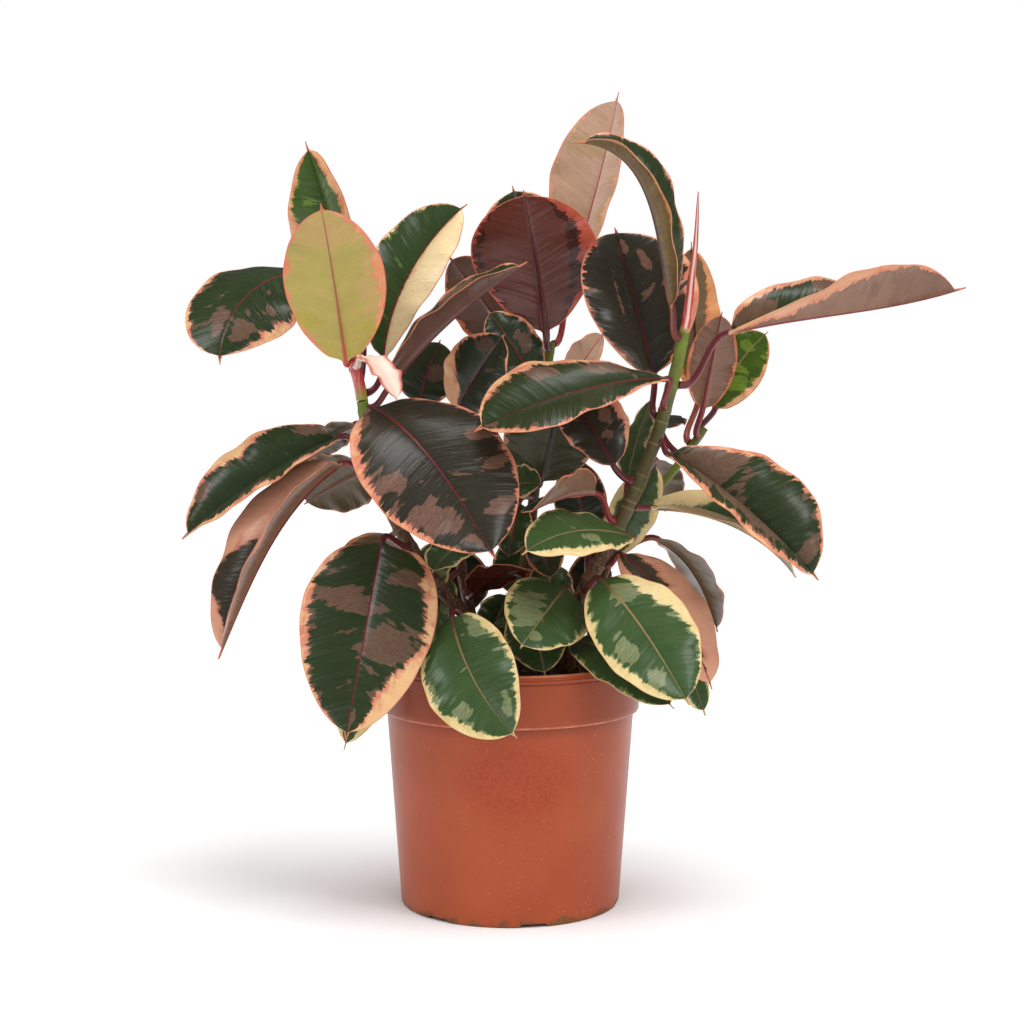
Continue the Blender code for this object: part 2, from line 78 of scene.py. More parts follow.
# Leaves of each cane, in order: the height of the node where the petiole leaves the cane, the
# blade's two ends, the way its upper face looks, its width, and how it rises, droops, sways,
# folds and twists
Leaf = namedtuple("Leaf", "node base tip face width rise droop sway fold_left fold_right twist widest",
                  defaults=(15, 12, 0, 8, 8, 0, 0.47))
LEAVES = {
    "left": (
        Leaf(262, (-52, -84, 278), (6, -160, 183), (-.38, -.85, .35), 88, 12, 18, 12, 18, 18),
        Leaf(300, (-99, -36, 286), (-150, -70, 155), (-.4, -.8, .4), 60, 20, 8),
        Leaf(335, (-115, -62, 343), (-144, -124, 173), (-.1, -1, .35), 122, 10, 12, -2, 6, 6, 0, .38),
        Leaf(352, (-110, 10, 343), (-163, 30, 272), (-.3, .6, .7), 70, 25, 20),
        Leaf(396, (-133, 14, 404), (-195, 40, 369), (0, .75, .6), 76, 10, 10),
        Leaf(404, (-156, -10, 411), (-264, -60, 236), (-.72, -.4, .5), 88, 25, 10, 0, 50, 50),
        Leaf(428, (-159, 13, 434), (-304, -6, 340), (-.36, -.6, .72), 90, 10, 8, 0, 42, 40),
        Leaf(440, (-145, 24, 446), (-206, 60, 398), (-.3, .6, .7), 44, 20, 10),
        Leaf(452, (-125, -38, 462), (-12, -135, 334), (.1, -.72, .68), 138, 32, 18, -2, 6, 6, 0, .5),
        Leaf(460, (-112, -18, 480), (15, -50, 593), (-.62, -.1, .78), 68, 12, 8, 0, 50, 46),
        Leaf(474, (-117, 8, 506), (-40, 30, 650), (-.25, -.9, .3), 84, 10, 5, -24, 8, 40, 0, .55),
        Leaf(484, (-158, 54, 572), (-266, -12, 501), (-.28, -.66, .7), 116, 64, 54, 40, -8, -4, -45, .58),
        Leaf(500, (-157, 110, 515), (-197, 92, 714), (-.45, -.85, .2), 90, 8, 5, 14, 10, 50, 0, .55),
        Leaf(508, (-149, -28, 503), (-168, -62, 644), (.05, .95, .35), 93, 8, 10, 0, 10, 10, 0, .5),
    ),
    "right": (
        Leaf(252, (58, -54, 252), (143, -128, 203), (.2, -.75, .7), 62, 34, 16),
        Leaf(285, (50, -52, 300), (9, -116, 254), (.25, -.7, .7), 80, 15, 15, 0, 0, 0, 0, .4),
        Leaf(296, (81, -72, 310), (155, -140, 208), (.15, -.85, .5), 92, 25, 15, 0, 6, 6),
        Leaf(322, (101, -30, 329), (182, -70, 210), (.55, -.62, .56), 78, 25, 20, 0, 12, 12),
        Leaf(345, (111, -50, 346), (10, -122, 337), (0, -.6, .8), 66, 22, 38, 0, 6, 6, 0, .56),
        Leaf(356, (76, -52, 386), (17, -96, 372), (.1, .78, .6), 82, 22, 12, 0, -5, 50),
        Leaf(374, (129, -22, 371), (266, -4, 304), (.1, -.45, .88), 84, 30, 30, 0, 10, 42),
        Leaf(392, (94, -44, 410), (47, -16, 481), (.45, -.85, .2), 72, 10, 10, 0, 25, 25, 0, .5),
        Leaf(404, (134, 8, 408), (92, 14, 318), (.3, -.9, .3), 46, 10, 10),
        Leaf(432, (143, -36, 421), (276, -72, 309), (.38, -.68, .6), 112, 12, 8, 0, 42, 46, 0, .56),
        Leaf(380, (108, -8, 392), (133, 30, 470), (-.8, -.5, .2), 46, 8, 8),
        Leaf(462, (142, -44, 489), (-32, -92, 443), (0, -.5, .86), 104, 16, 14, 0, 18, 18, 0, .64),
        Leaf(484, (199, -16, 531), (412, -30, 571), (0, .02, 1), 104, 4, -8, 0, 52, 50, -80, .5),
        Leaf(308, (72, 20, 336), (60, 36, 414), (-.1, -.95, .2), 50, 8, 8),
        Leaf(452, (132, -8, 490), (97, 24, 628), (.0, -1, .15), 122, 8, 10, 0, 56, 6, 0, .54),
        Leaf(524, (147, -38, 553), (56, -62, 698), (.8, -.35, .5), 60, 18, 60, 0, 54, 54, 0, .5),
    ),
    "centre": (
        Leaf(250, (16, -34, 278), (31, -94, 227), (0, -.8, .6), 56, 20, 10),
        Leaf(392, (28, 10, 392), (43, -6, 465), (0, .9, .3), 84, 8, 8, 0, 8, 8, 0, .5),
        Leaf(452, (24, 22, 482), (-21, 10, 551), (.2, -.9, .4), 56, 12, 10),
        Leaf(474, (50, 82, 470), (92, 112, 532), (-.2, .8, .5), 42, 10, 10),
        Leaf(492, (4, 46, 520), (-58, 56, 603), (.3, .9, .3), 74, 10, 5),
        Leaf(498, (34, 66, 540), (2, 92, 672), (-.1, -.8, .5), 84, 15, 10, 0, 4, 4, 0, .62),
        Leaf(516, (33, 26, 530), (12, -44, 657), (.05, .9, .42), 116, 12, 12, 0, 8, 8, 0, .55),
        Leaf(520, (55, 56, 576), (101, 40, 754), (-.35, .93, .1), 94, 8, 5, -6, 64, 10, 0, .55),
    ),
    "shoot": (
        Leaf(292, (128, 0, 282), (181, -20, 177), (.5, -.6, .6), 60, 15, 10),
        Leaf(332, (138, 14, 339), (197, 30, 248), (.72, .35, .6), 70, 32, 20),
        Leaf(380, (140, 72, 410), (153, 118, 356), (.2, .7, .6), 46, 20, 10),
        Leaf(412, (146, 76, 440), (154, 126, 450), (.1, -.5, .85), 44, 20, 20),
        Leaf(424, (182, 88, 472), (174, 88, 618), (-.2, .9, .3), 54, 5, 5),
        Leaf(432, (182, 42, 459), (198, 26, 550), (.15, .9, .35), 46, 8, 5),
        Leaf(436, (196, 66, 458), (248, 80, 532), (.1, -.9, .3), 54, 5, 5, -15),
    ),
    "back": (
        Leaf(286, (-34, 4, 288), (18, -46, 316), (-.1, .4, .9), 58, 22, 25),
        Leaf(345, (-36, 0, 340), (-71, -46, 313), (-.3, -.6, .7), 48, 15, 20),
        Leaf(400, (-17, 0, 385), (30, -24, 392), (.1, -.7, .7), 48, 15, 20),
        Leaf(452, (-87, 40, 464), (-66, 44, 524), (-.3, -.9, .3), 66, 10, 10),
        Leaf(464, (-51, 8, 458), (-5, -16, 529), (-.3, -.9, .3), 72, 10, 10, 0, 5, 25),
    ),
}
# Small leaves inside the plant, with the cane each one grows on and its look's colours
INNER = (
    ("back", Leaf(336, (-64, 24, 336), (-84, 6, 276), (-.35, -.9, .3), 40, 14, 8), "green", "olive"),
    ("back", Leaf(322, (-46, 66, 322), (-44, 76, 258), (.1, -.95, .2), 50, 14, 8), "dark", "maroon"),
    ("back", Leaf(304, (-58, 26, 298), (-72, 8, 246), (-.4, -.85, .3), 36, 14, 8), "green", "grey"),
    ("back", Leaf(362, (-60, 66, 372), (-44, 76, 436), (.1, -.95, .2), 52, 8, 8), "dark", "maroon"),
    ("centre", Leaf(338, (14, 60, 336), (4, 68, 276), (-.15, -.95, .2), 52, 14, 8), "green", "olive"),
    ("centre", Leaf(318, (32, 18, 318), (44, 0, 264), (.3, -.9, .3), 44, 14, 8), "green", "grey"),
    ("centre", Leaf(284, (-2, 52, 280), (-22, 58, 236), (-.2, -.9, .4), 42, 14, 8), "green", "pale"),
    ("centre", Leaf(270, (28, 14, 270), (44, -8, 236), (.3, -.85, .4), 34, 14, 8), "dark", "grey"),
    ("centre", Leaf(352, (26, 4, 348), (38, -16, 304), (.1, -.95, .2), 36, 8, 8), "mauve", "brown"),
    ("centre", Leaf(376, (8, 14, 372), (-2, 0, 322), (-.1, -.95, .2), 36, 8, 8), "cream", "pale"),
    ("shoot", Leaf(276, (96, 16, 278), (102, 2, 236), (.2, -.9, .3), 32, 14, 8), "green", "olive"),
    ("shoot", Leaf(320, (86, 56, 322), (66, 66, 258), (-.3, -.9, .3), 46, 14, 8), "dark", "maroon"),
)
STIPULE = Leaf(500, (-134, -36, 508), (-100, -72, 470), (.55, -.6, .6), 34, 30, 10, 0, 30, 30)

# Blade outline and section, close to those of the solids
NECK_HALF_WIDTH = 2.9
POINT_HALF_WIDTH = 0.5
PETIOLE_RADIUS = 2.9
PETIOLE_FLARE = 0.35
PETIOLE_REACH = 0.35
BODY_END = 0.95
BODY_FULLNESS = 0.52
DRIP_TIP = 0.16
TIP_OPENING = 0.5
TIP_CLOSING = 0.2

# Finer shape of a blade
BLADE_ROWS = 56
ROW_CROWDING = 0.45
PETIOLE_ROWS = 9
HALF_COLUMNS = 14
COLUMN_CROWDING = 1.7
BLADE_THICKNESS = 0.9
MARGIN_THICKNESS = 0.5
BLADE_BEND = 9.0
WAVE_RADIANS = 19.0
RIPPLE_RADIANS = 34.0
RIB_GROOVE = 0.35
RIB_DEPTH = 1.15
RIB_END_RADIUS = 0.55
NECK_END = 0.004
STALK_LENGTH = 0.05

# Lines of a blade's finish, in centimetres, the slant of its side veins, and the seeds of its noise
RIB_WIDTH_ABOVE = 0.11
RIB_WIDTH_BELOW = 0.15
RIM_WIDTH = 0.1
VEIN_SPACING = 0.3
VEIN_SLANT = 0.42
SEED_STEP = 3.1
INNER_SEED = 200

# One face of a leaf: its ground colour, the tone of its patches, the margin in two tints, its rim,
# rib, side veins and petiole, and how strongly the side veins show
Face = namedtuple("Face", "ground patch margin tint rim rib vein stalk veins",
                  defaults=((92, 30, 36), 0.12))
UPPER = {
    "green": Face((46, 70, 32), (122, 130, 88), (206, 184, 124), (226, 202, 146), (222, 184, 126),
                  (140, 118, 78), (82, 108, 62), (100, 40, 40)),
    "rose": Face((28, 38, 24), (122, 86, 72), (184, 114, 92), (206, 148, 120), (214, 138, 104),
                 (112, 24, 36), (96, 66, 54), (100, 34, 38), 0.3),
    "dark": Face((26, 38, 22), (84, 64, 54), (202, 126, 98), (222, 170, 124), (208, 130, 98),
                 (104, 24, 36), (58, 62, 46)),
    "mauve": Face((32, 48, 20), (108, 80, 64), (204, 124, 98), (224, 178, 128), (212, 138, 104),
                  (116, 26, 40), (66, 72, 44)),
    "purple": Face((36, 34, 24), (110, 78, 64), (202, 120, 94), (216, 160, 122), (208, 128, 98),
                   (112, 24, 36), (66, 58, 46)),
    "bright": Face((46, 76, 12), (104, 130, 36), (212, 124, 88), (228, 174, 124), (212, 118, 86),
                   (146, 116, 60), (92, 116, 34)),
    "cream": Face((40, 60, 24), (88, 104, 52), (216, 152, 112), (232, 204, 156), (206, 124, 94),
                  (132, 28, 38), (66, 86, 46)),
}
UNDER = {
    "maroon": Face((90, 40, 30), (54, 22, 20), (176, 74, 58), (196, 92, 70), (212, 100, 74),
                   (62, 12, 18), (110, 54, 44)),
    "yellow": Face((172, 152, 68), (184, 150, 86), (214, 122, 86), (220, 150, 102), (222, 106, 74),
                   (158, 92, 60), (166, 156, 80), (186, 58, 54), 0.3),
    "blush": Face((204, 164, 138), (182, 148, 108), (222, 158, 122), (224, 174, 136), (226, 126, 90),
                  (184, 72, 76), (168, 128, 96), (150, 60, 56), 0.55),
    "olive": Face((104, 82, 52), (122, 100, 60), (216, 118, 74), (222, 156, 98), (228, 136, 88),
                  (66, 36, 32), (128, 104, 68), (150, 78, 60), 0.3),
    "brown": Face((142, 104, 82), (122, 86, 68), (212, 122, 86), (220, 160, 118), (224, 116, 82),
                  (130, 44, 46), (118, 82, 64), (128, 40, 44), 0.5),
    "deep": Face((60, 62, 38), (84, 76, 52), (206, 148, 104), (218, 178, 130), (206, 150, 110),
                 (44, 38, 26), (82, 84, 54), (96, 40, 38), 0.5),
    "grey": Face((98, 86, 68), (116, 96, 78), (196, 140, 100), (212, 172, 128), (216, 138, 98),
                 (134, 84, 68), (118, 106, 84), (122, 46, 46), 0.35),
    "taupe": Face((104, 72, 62), (88, 58, 50), (208, 112, 80), (216, 140, 98), (216, 110, 76),
                  (88, 22, 28), (118, 86, 74), (108, 34, 38), 0.4),
    "pale": Face((148, 140, 106), (166, 150, 114), (222, 196, 152), (226, 202, 158), (222, 168, 124),
                 (160, 128, 96), (162, 152, 120), (124, 66, 56), 0.35),
}

# The colours of a face that its material takes, and in linear shares those of its dust and mottle
FACE_COLOURS = ("ground", "patch", "margin", "tint", "rim", "rib", "vein", "stalk")
DUST = (0.62, 0.66, 0.6, 1.0)
DARKER = (0.28, 0.28, 0.28, 1.0)
LIGHTER = (0.7, 0.7, 0.7, 1.0)

# How each leaf is finished: its two faces, and the share of its left and of its right half that
# the margin takes, at even stations from the base to the tip. Each patch has its place along and
# across the blade, its length and its breadth, as shares.
THIN = (.06, .05, .05, .06, .1)
EVEN = (.12, .12, .1, .14, .2)
Look = namedtuple("Look", "upper under left right patches", defaults=(EVEN, EVEN, ()))
LOOKS = {
    "left": (
        Look("green", "pale", (.1, .22, .05, .16, .25), (.05, .12, .06, .27, .2),
             ((.2, -.7, .1, .25), (.66, .6, .05, .22), (.8, -.5, .06, .2))),
        Look("green", "pale", (.3, .3, .3, .3, .4), (.2, .3, .3, .4, .5)),
        Look("mauve", "grey", (.14, .2, .08, .5, .4), (.13, .1, .15, .05, .16),
             ((.31, .5, .055, .5), (.52, -.35, .1, .5), (.18, -.55, .05, .3), (.9, -.1, .06, .12),
              (.36, .05, .03, .3))),
        Look("green", "olive", (.2, .2, .1, .1, .1), THIN),
        Look("dark", "grey", THIN, THIN),
        Look("rose", "brown", (.2, .15, .3, .1, .2), (.9, 1.1, .75, 1.1, .6, .02, .02, .8, 1.1)),
        Look("mauve", "grey", EVEN, (.05, .04, .3, .08, .3), ((.76, .75, .05, .25), (.1, .8, .1, .3))),
        Look("green", "grey"),
        Look("purple", "brown", (.12, .05, .05, .06, .06), (.3, .2, .05, .1, .06),
             ((.5, .68, .05, .2), (.74, .5, .09, .32), (.9, .25, .04, .15), (.1, .7, .08, .2),
              (.46, -.82, .035, .25), (.62, -.72, .03, .25), (.8, -.6, .03, .3))),
        Look("mauve", "taupe", (.1, .08, .16, .1, .3), THIN, ((.6, -.6, .1, .4),)),
        Look("cream", "pale", (.02, .02, .02, .03, .1), (.99, .99, .99, .99, 1.1)),
        Look("mauve", "grey", (.03, .03, .04, .26, .2), (.03, .03, .04, .06, .14),
             ((.78, .2, .08, .22), (.8, -.35, .08, .22), (.6, -.55, .04, .15), (.12, .2, .08, .25))),
        Look("bright", "yellow", (.1, .1, .36, .08, .5), (.08, .1, .12, .2, .5), ((.5, .1, .06, .4),)),
        Look("bright", "yellow", (.03, .08, .2, .12, .3), (.03, .08, .05, .08, .1),
             ((.95, .0, .26, 1.6), (.45, -.9, .2, .4))),
    ),
    "right": (
        Look("green", "grey", (.02, .02, .02, .02, .04), (.02, .02, .02, .02, .04)),
        Look("green", "pale", (.03, .04, .05, .08, .2), (.05, .06, .1, .15, .3),
             ((.55, .45, .26, .4), (.8, -.2, .06, .2))),
        Look("green", "pale", (.26, .5, .2, .04, .15), (.1, .14, .1, .24, .3),
             ((.18, -.2, .08, .4), (.55, .55, .08, .22), (.76, .45, .06, .25))),
        Look("rose", "blush", (.3, .7, .9, .9, .95), (.2, .5, .9, .9, .95)),
        Look("green", "pale", (.2, .14, .22, .3, .5), (.1, .05, .05, .06, .3), ((.5, -.4, .06, .2),)),
        Look("mauve", "brown", THIN, THIN),
        Look("green", "pale", (.9, .8, .1, .1, .2), (.9, .7, .06, .1, .2), ((.2, .0, .1, .8),)),
        Look("purple", "maroon", THIN, (.1, .2, .26, .12, .1), ((.5, .45, .1, .2), (.3, .3, .06, .2))),
        Look("green", "pale", (.4, .3, .3, .3, .4), (.3, .4, .2, .3, .4)),
        Look("mauve", "brown", (.08, .12, .05, .06, .2), EVEN,
             ((.2, -.5, .2, .7), (.86, -.45, .04, .5), (.45, .4, .3, .4))),
        Look("green", "brown", (.35, .2, .3, .2, .3), EVEN),
        Look("mauve", "brown", (.28, .1, .04, .05, .3), (.1, .08, .17, .17, .3),
             ((.3, .6, .1, .22), (.58, .62, .08, .2), (.95, -.3, .05, .25))),
        Look("mauve", "brown", (.3, .2, .15, .08, .1), (.9, .85, .45, .1, .1),
             ((.12, -.4, .1, .5), (.45, -.6, .08, .35), (.95, .3, .3, .9))),
        Look("dark", "grey", THIN, THIN),
        Look("purple", "maroon", (.03, .03, .03, .05, .05), (.26, .22, .2, .08, .12),
             ((.85, .1, .05, .08), (.72, .35, .1, .08), (.5, -.45, .16, .05), (.55, .6, .04, .15))),
        Look("mauve", "olive", (.1, .2, .34, .3, .3), (.1, .06, .06, .1, .2), ((.35, -.5, .2, .4),)),
    ),
    "centre": (
        Look("green", "grey", THIN, THIN), Look("green", "deep", THIN, THIN),
        Look("mauve", "pale", EVEN, EVEN, ((.5, .4, .16, .25),)),
        Look("cream", "blush", (.4, .4, .4, .4, .5)),
        Look("dark", "taupe"), Look("mauve", "grey", EVEN, (.5, .4, .3, .2, .3), ((.7, .3, .16, .3),)),
        Look("dark", "maroon", (.1, .14, .28, .24, .2), (.08, .06, .03, .05, .1),
             ((.5, -.68, .3, .12), (.6, .85, .2, .06))),
        Look("mauve", "blush", THIN, (.06, .1, .06, .06, .12), ((.3, .3, .08, .6), (.7, .4, .05, .6))),
    ),
    "shoot": (
        Look("green", "grey"), Look("dark", "olive", THIN, THIN), Look("dark", "grey", THIN, THIN),
        Look("purple", "maroon", THIN, THIN),
        Look("rose", "olive", (.6, .5, .55, .3, .3), (.4, .3, .4, .2, .2)),
        Look("mauve", "brown", (.12, .1, .08, .08, .1), (.24, .2, .1, .08, .1)),
        Look("bright", "yellow", (.1, .06, .06, .06, .1), (.5, .3, .16, .1, .2),
             ((.35, .35, .1, .3), (.72, -.2, .06, .4), (.5, .1, .04, .4))),
    ),
    "back": (
        Look("dark", "maroon", THIN, THIN), Look("green", "pale"), Look("green", "grey"),
        Look("dark", "grey", THIN, THIN, ((.5, .3, .12, .3),)),
        Look("dark", "pale", (1.1, .7, .12, .1, .2), THIN, ((.8, -.3, .08, .3),)),
    ),
}

# Canes and bud sheaths. A scar lies under its leaf's node, where the cane swells, and the bark is
# young over a span below the sheath and old below a height. The right sheath runs through points.
CANE_SIDES = 28
CANE_SPACING = 1.6
SCAR_DROP = 3.0
SCAR_WIDTH = 0.9
SWELLING_WIDTH = 2.6
YOUNG_SPAN = 90.0
YOUNG_EASE = 60.0
OLD_BELOW = 425.0
OLD_EASE = 150.0
SHEATH_SIDES = 24
RIGHT_SHEATH = ((161, -25, 545), (164, -26, 575), (168, -26, 612), (170, -26, 657))

# Pot, with angles from the right side of the photo
POT_COLUMNS = 240
NOTCH_ANGLES = (230, 282, 350, 60, 120, 170)
NOTCH_HALF_ANGLE = 7.0
NOTCH_EASE = 0.8
NOTCH_HEIGHT = 3.3
FOOT_RING_WIDTH = 7.0
LIP_HEIGHT = 7.5
DRAIN_HOLES = 6
DRAIN_TURN = 0.3
DRAIN_RING_RADIUS = 62.0
DRAIN_HOLE_RADIUS = 6.0
FLOOR_UNDER = 5.0
FLOOR_TOP = 7.0
HOLE_SIDES = 32

# The damp patch on the pot's front, in metres across and up
DAMP_CENTRE = (0.008, 0.135)
DAMP_REACH = (0.055, 0.042)

# Soil. Grains lie only where a face's normal points up at least this far.
LEAST_UPWARD = 0.6
SOIL_EDGE_HEIGHT = 214.0
SOIL_CROWN = 11.0
SOIL_LUMP = 2.2
SOIL_COLUMNS = 96
SOIL_RINGS = 40
SOIL_GAP = 2.6
ROOT_HOLE_RADIUS = 9.3
ROOT_HOLE_TOP = 250.0

# What is strewn over the soil: the node that makes one grain and its inputs, how far the grain is
# tipped, the least and greatest scale, and how far it may turn about each axis, in radians
Grain = namedtuple("Grain", "kind inputs tip least most turn")
CRUMB = Grain("GeometryNodeMeshIcoSphere", {"Radius": 0.5, "Subdivisions": 1}, 0.0,
              (0.35, 0.35, 0.3), (1.0, 0.85, 0.75), (math.pi, math.pi, math.pi))
FIBRE = Grain("GeometryNodeMeshCylinder",
              {"Vertices": 5, "Radius": 0.05, "Depth": 1.0, "Side Segments": 1}, math.pi / 2,
              (1.0, 2.2, 1.0), (1.0, 2.2, 1.0), (0.3, 0.3, math.pi))

# The stage, in metres: the floor's corners, the lamps' places and targets, the soft boxes' breadths,
# and the camera's lens, which is given by the photo's focal length and width in pixels
FLOOR_CORNERS = ((-12, -6, 0), (12, -6, 0), (12, 14, 0), (-12, 14, 0))
KEY_PLACE = (0.75, -0.95, 2.9)
KEY_TARGET = (0.0, 0.0, 0.2)
KEY_ANGLE = 40.0
BOX_TARGET = (0.0, 0.0, 0.35)
SOFT_BOXES = {"right_box": ((1.5, -1.5, 1.7), 0.6), "left_box": ((-1.7, -1.1, 1.8), 0.6),
              "top_box": ((0.1, 0.1, 2.4), 0.8)}
FOCAL_PIXELS = 2000.0
PHOTO_WIDTH = 1024.0
SENSOR_WIDTH = 36.0
CAMERA_RIGHT = 0.0017
CAMERA_TILT = 85.5


def paint(red, green, blue):
    """A display colour of 0 to 255 as the linear colour that shaders take."""
    shares = (value / 255 for value in (red, green, blue))
    linear = (x / 12.92 if x <= 0.04045 else ((x + 0.055) / 1.055) ** 2.4 for x in shares)
    return (*linear, 1.0)


def amount(name, description, default, **more):
    """A property for a number that is never below 0."""
    return bpy.props.FloatProperty(name=name, description=description, default=default, min=0.0, **more)


def length(name, description, default):
    """A property for a length in metres."""
    return amount(name, description, default, subtype="DISTANCE", unit="LENGTH")


def share(name, description, default):
    """A property for a share from 0 to 1."""
    return amount(name, description, default, max=1.0, subtype="FACTOR")


def colour(name, description, default):
    """A property for a surface colour."""
    return bpy.props.FloatVectorProperty(name=name, description=description, default=paint(*default),
                                         subtype="COLOR", size=4, min=0.0, max=1.0)


class PotSizes(bpy.types.PropertyGroup):
    """Sizes and colours of the pot."""

    foot_radius: length("Foot radius", "Outer radius at the pot's foot", 0.102)
    shoulder_radius: length("Shoulder radius", "Outer radius just under the collar", 0.115)
    collar_radius: length("Collar radius", "Outer radius of the collar", 0.120)
    collar_base: length("Collar base", "Height where the collar starts", 0.182)
    height: length("Height", "Height of the rim", 0.2295)
    wall: length("Wall", "Thickness of the plastic", 0.002)
    body: colour("Body", "Colour of the plastic", (170, 76, 36))
    dirt: colour("Dirt", "Colour of the dirt near the foot", (104, 72, 44))


class SoilSizes(bpy.types.PropertyGroup):
    """Sizes and colours of the soil."""

    crumb: length("Crumb", "Size of the largest crumbs", 0.0055)
    crumbs: amount("Crumbs", "Crumbs to a square metre of soil", 62000.0)
    fibres: amount("Fibres", "Fibres to a square metre of soil", 6000.0)
    dark: colour("Dark", "Colour of the wet soil", (52, 40, 30))
    light: colour("Light", "Colour of the dry crumbs", (98, 78, 58))
    fibre: colour("Fibre", "Colour of the pale fibres and grit", (186, 162, 124))


class CaneSizes(bpy.types.PropertyGroup):
    """Sizes and colours of the canes."""

    node_swelling: length("Node swelling", "How far a cane swells at a leaf's node", 0.0006)
    green: colour("Green", "Colour of the youngest bark", (104, 122, 34))
    olive: colour("Olive", "Colour of the bark half way up", (74, 68, 30))
    brown: colour("Brown", "Colour of the old bark", (128, 84, 54))
    scar: colour("Scar", "Colour of the rings that fallen leaves left", (128, 112, 68))


class LeafSizes(bpy.types.PropertyGroup):
    """Form and gloss of the leaves."""

    wave: length("Wave", "How far the margins wave", 0.0015)
    roughness: share("Roughness", "Roughness of the blade", 0.33)
    gloss: share("Gloss", "Strength of the waxy coat", 0.22)


class StageSizes(bpy.types.PropertyGroup):
    """The floor, the lights and the camera."""

    distance: length("Distance", "Camera distance in front of the pot's axis", 1.85)
    camera_height: length("Camera height", "Height of the camera over the floor", 0.51)
    floor: colour("Floor", "Colour of the floor", (250, 250, 250))
    sun: amount("Key light", "Strength of the wide key light", 1.8)
    softbox: amount("Soft boxes", "Power of each soft box", 7.5, unit="POWER")
    ambient: share("Ambient", "Strength of the light from all round", 0.64)
    mirrored: share("Mirrored", "Strength of the surroundings that glossy leaves mirror", 0.1)


class PlantSettings(bpy.types.PropertyGroup):
    """All settings of the potted plant."""

    pot: bpy.props.PointerProperty(type=PotSizes)
    soil: bpy.props.PointerProperty(type=SoilSizes)
    canes: bpy.props.PointerProperty(type=CaneSizes)
    leaves: bpy.props.PointerProperty(type=LeafSizes)
    stage: bpy.props.PointerProperty(type=StageSizes)


class Value:
    """An output in a node tree. Numbers are added, multiplied and so on like plain ones."""

    def __init__(self, nodes, socket):
        self.nodes = nodes
        self.socket = socket

    def __add__(self, other):
        return self.nodes.math("ADD", self, other)

    def __sub__(self, other):
        return self.nodes.math("SUBTRACT", self, other)

    def __rsub__(self, other):
        return self.nodes.math("SUBTRACT", other, self)

    def __mul__(self, other):
        return self.nodes.math("MULTIPLY", self, other)

    def __truediv__(self, other):
        return self.nodes.math("DIVIDE", self, other)

    def __neg__(self):
        return self * -1.0

    def __abs__(self):
        return self.nodes.math("ABSOLUTE", self)


class Nodes:
    """Adds nodes to one tree, their inputs given as plain values or as other nodes' outputs."""

    def __init__(self, tree):
        self.tree = tree

    def put(self, socket, value):
        if isinstance(value, Value):
            value = value.socket
        if isinstance(value, bpy.types.NodeSocket):
            self.tree.links.new(value, socket)
        else:
            socket.default_value = value

    def node(self, kind, values=(), named=(), **settings):
        made = self.tree.nodes.new(kind)
        for name, value in settings.items():
            setattr(made, name, value)
        for place, value in (*enumerate(values), *dict(named).items()):
            self.put(made.inputs[place], value)
        return made

    def out(self, kind, values=(), named=(), output=0, **settings):
        """One output of a new node."""
        return Value(self, self.node(kind, values, named, **settings).outputs[output])

    def math(self, operation, *values, clamp=False):
        return self.out("ShaderNodeMath", values, operation=operation, use_clamp=clamp)

    def vector(self, *values):
        return self.out("ShaderNodeCombineXYZ", values)

    def split(self, value):
        return [Value(self, part) for part in self.node("ShaderNodeSeparateXYZ", (value,)).outputs]

    def step(self, value, edge, softness):
        """0 below the edge and 1 above it, with a soft change."""
        return self.math("ADD", (value - edge) / (2 * softness), 0.5, clamp=True)

    def noise(self, vector, scale=1.0, detail=3.0, roughness=0.6):
        named = {"Vector": vector, "Scale": scale, "Detail": detail, "Roughness": roughness}
        return self.out("ShaderNodeTexNoise", named=named)

    def mix(self, amount, first, second, blend="MIX"):
        """A colour between two others."""
        named = {0: amount, 6: first, 7: second}
        return self.out("ShaderNodeMix", named=named, output=2, data_type="RGBA", blend_type=blend)

    def blend(self, amount, first, second):
        """A number between two others."""
        return self.out("ShaderNodeMix", named={0: amount, 2: first, 3: second}, data_type="FLOAT")

    def attribute(self, name):
        return self.out("ShaderNodeAttribute", output="Fac", attribute_name=name)

    def uv(self, name):
        return self.out("ShaderNodeUVMap", uv_map=name)

    def place(self):
        return self.out("ShaderNodeTexCoord", output="Object")

    def stretched(self, across, upright):
        """The place, scaled across and upright."""
        x, y, z = self.split(self.place())
        return self.vector(x * across, y * across, z * upright)


def new_group(name, kind, inputs, outputs):
    """A node group with its inputs and outputs, given as (name, socket type) pairs."""
    group = bpy.data.node_groups.new(name, kind)
    for way, sockets in (("INPUT", inputs), ("OUTPUT", outputs)):
        for title, socket_type in sockets:
            group.interface.new_socket(title, in_out=way, socket_type=socket_type)
    nodes = Nodes(group)
    given = {socket.name: Value(nodes, socket) for socket in nodes.node("NodeGroupInput").outputs}
    return group, nodes, given


def new_material(name, **constants):
    """A Principled material with the given constants on its own sockets."""
    material = bpy.data.materials.new(name)
    material.use_nodes = True
    shader = material.node_tree.nodes["Principled BSDF"]
    for socket, value in constants.items():
        shader.inputs[socket.replace("_", " ")].default_value = value
    return material, Nodes(material.node_tree), shader


def finish(nodes, shader, colour, height, strength, distance):
    """Give a shader its colour and its relief."""
    nodes.put(shader.inputs["Base Color"], colour)
    named = {"Height": height, "Strength": strength, "Distance": distance}
    nodes.put(shader.inputs["Normal"], nodes.out("ShaderNodeBump", named=named))


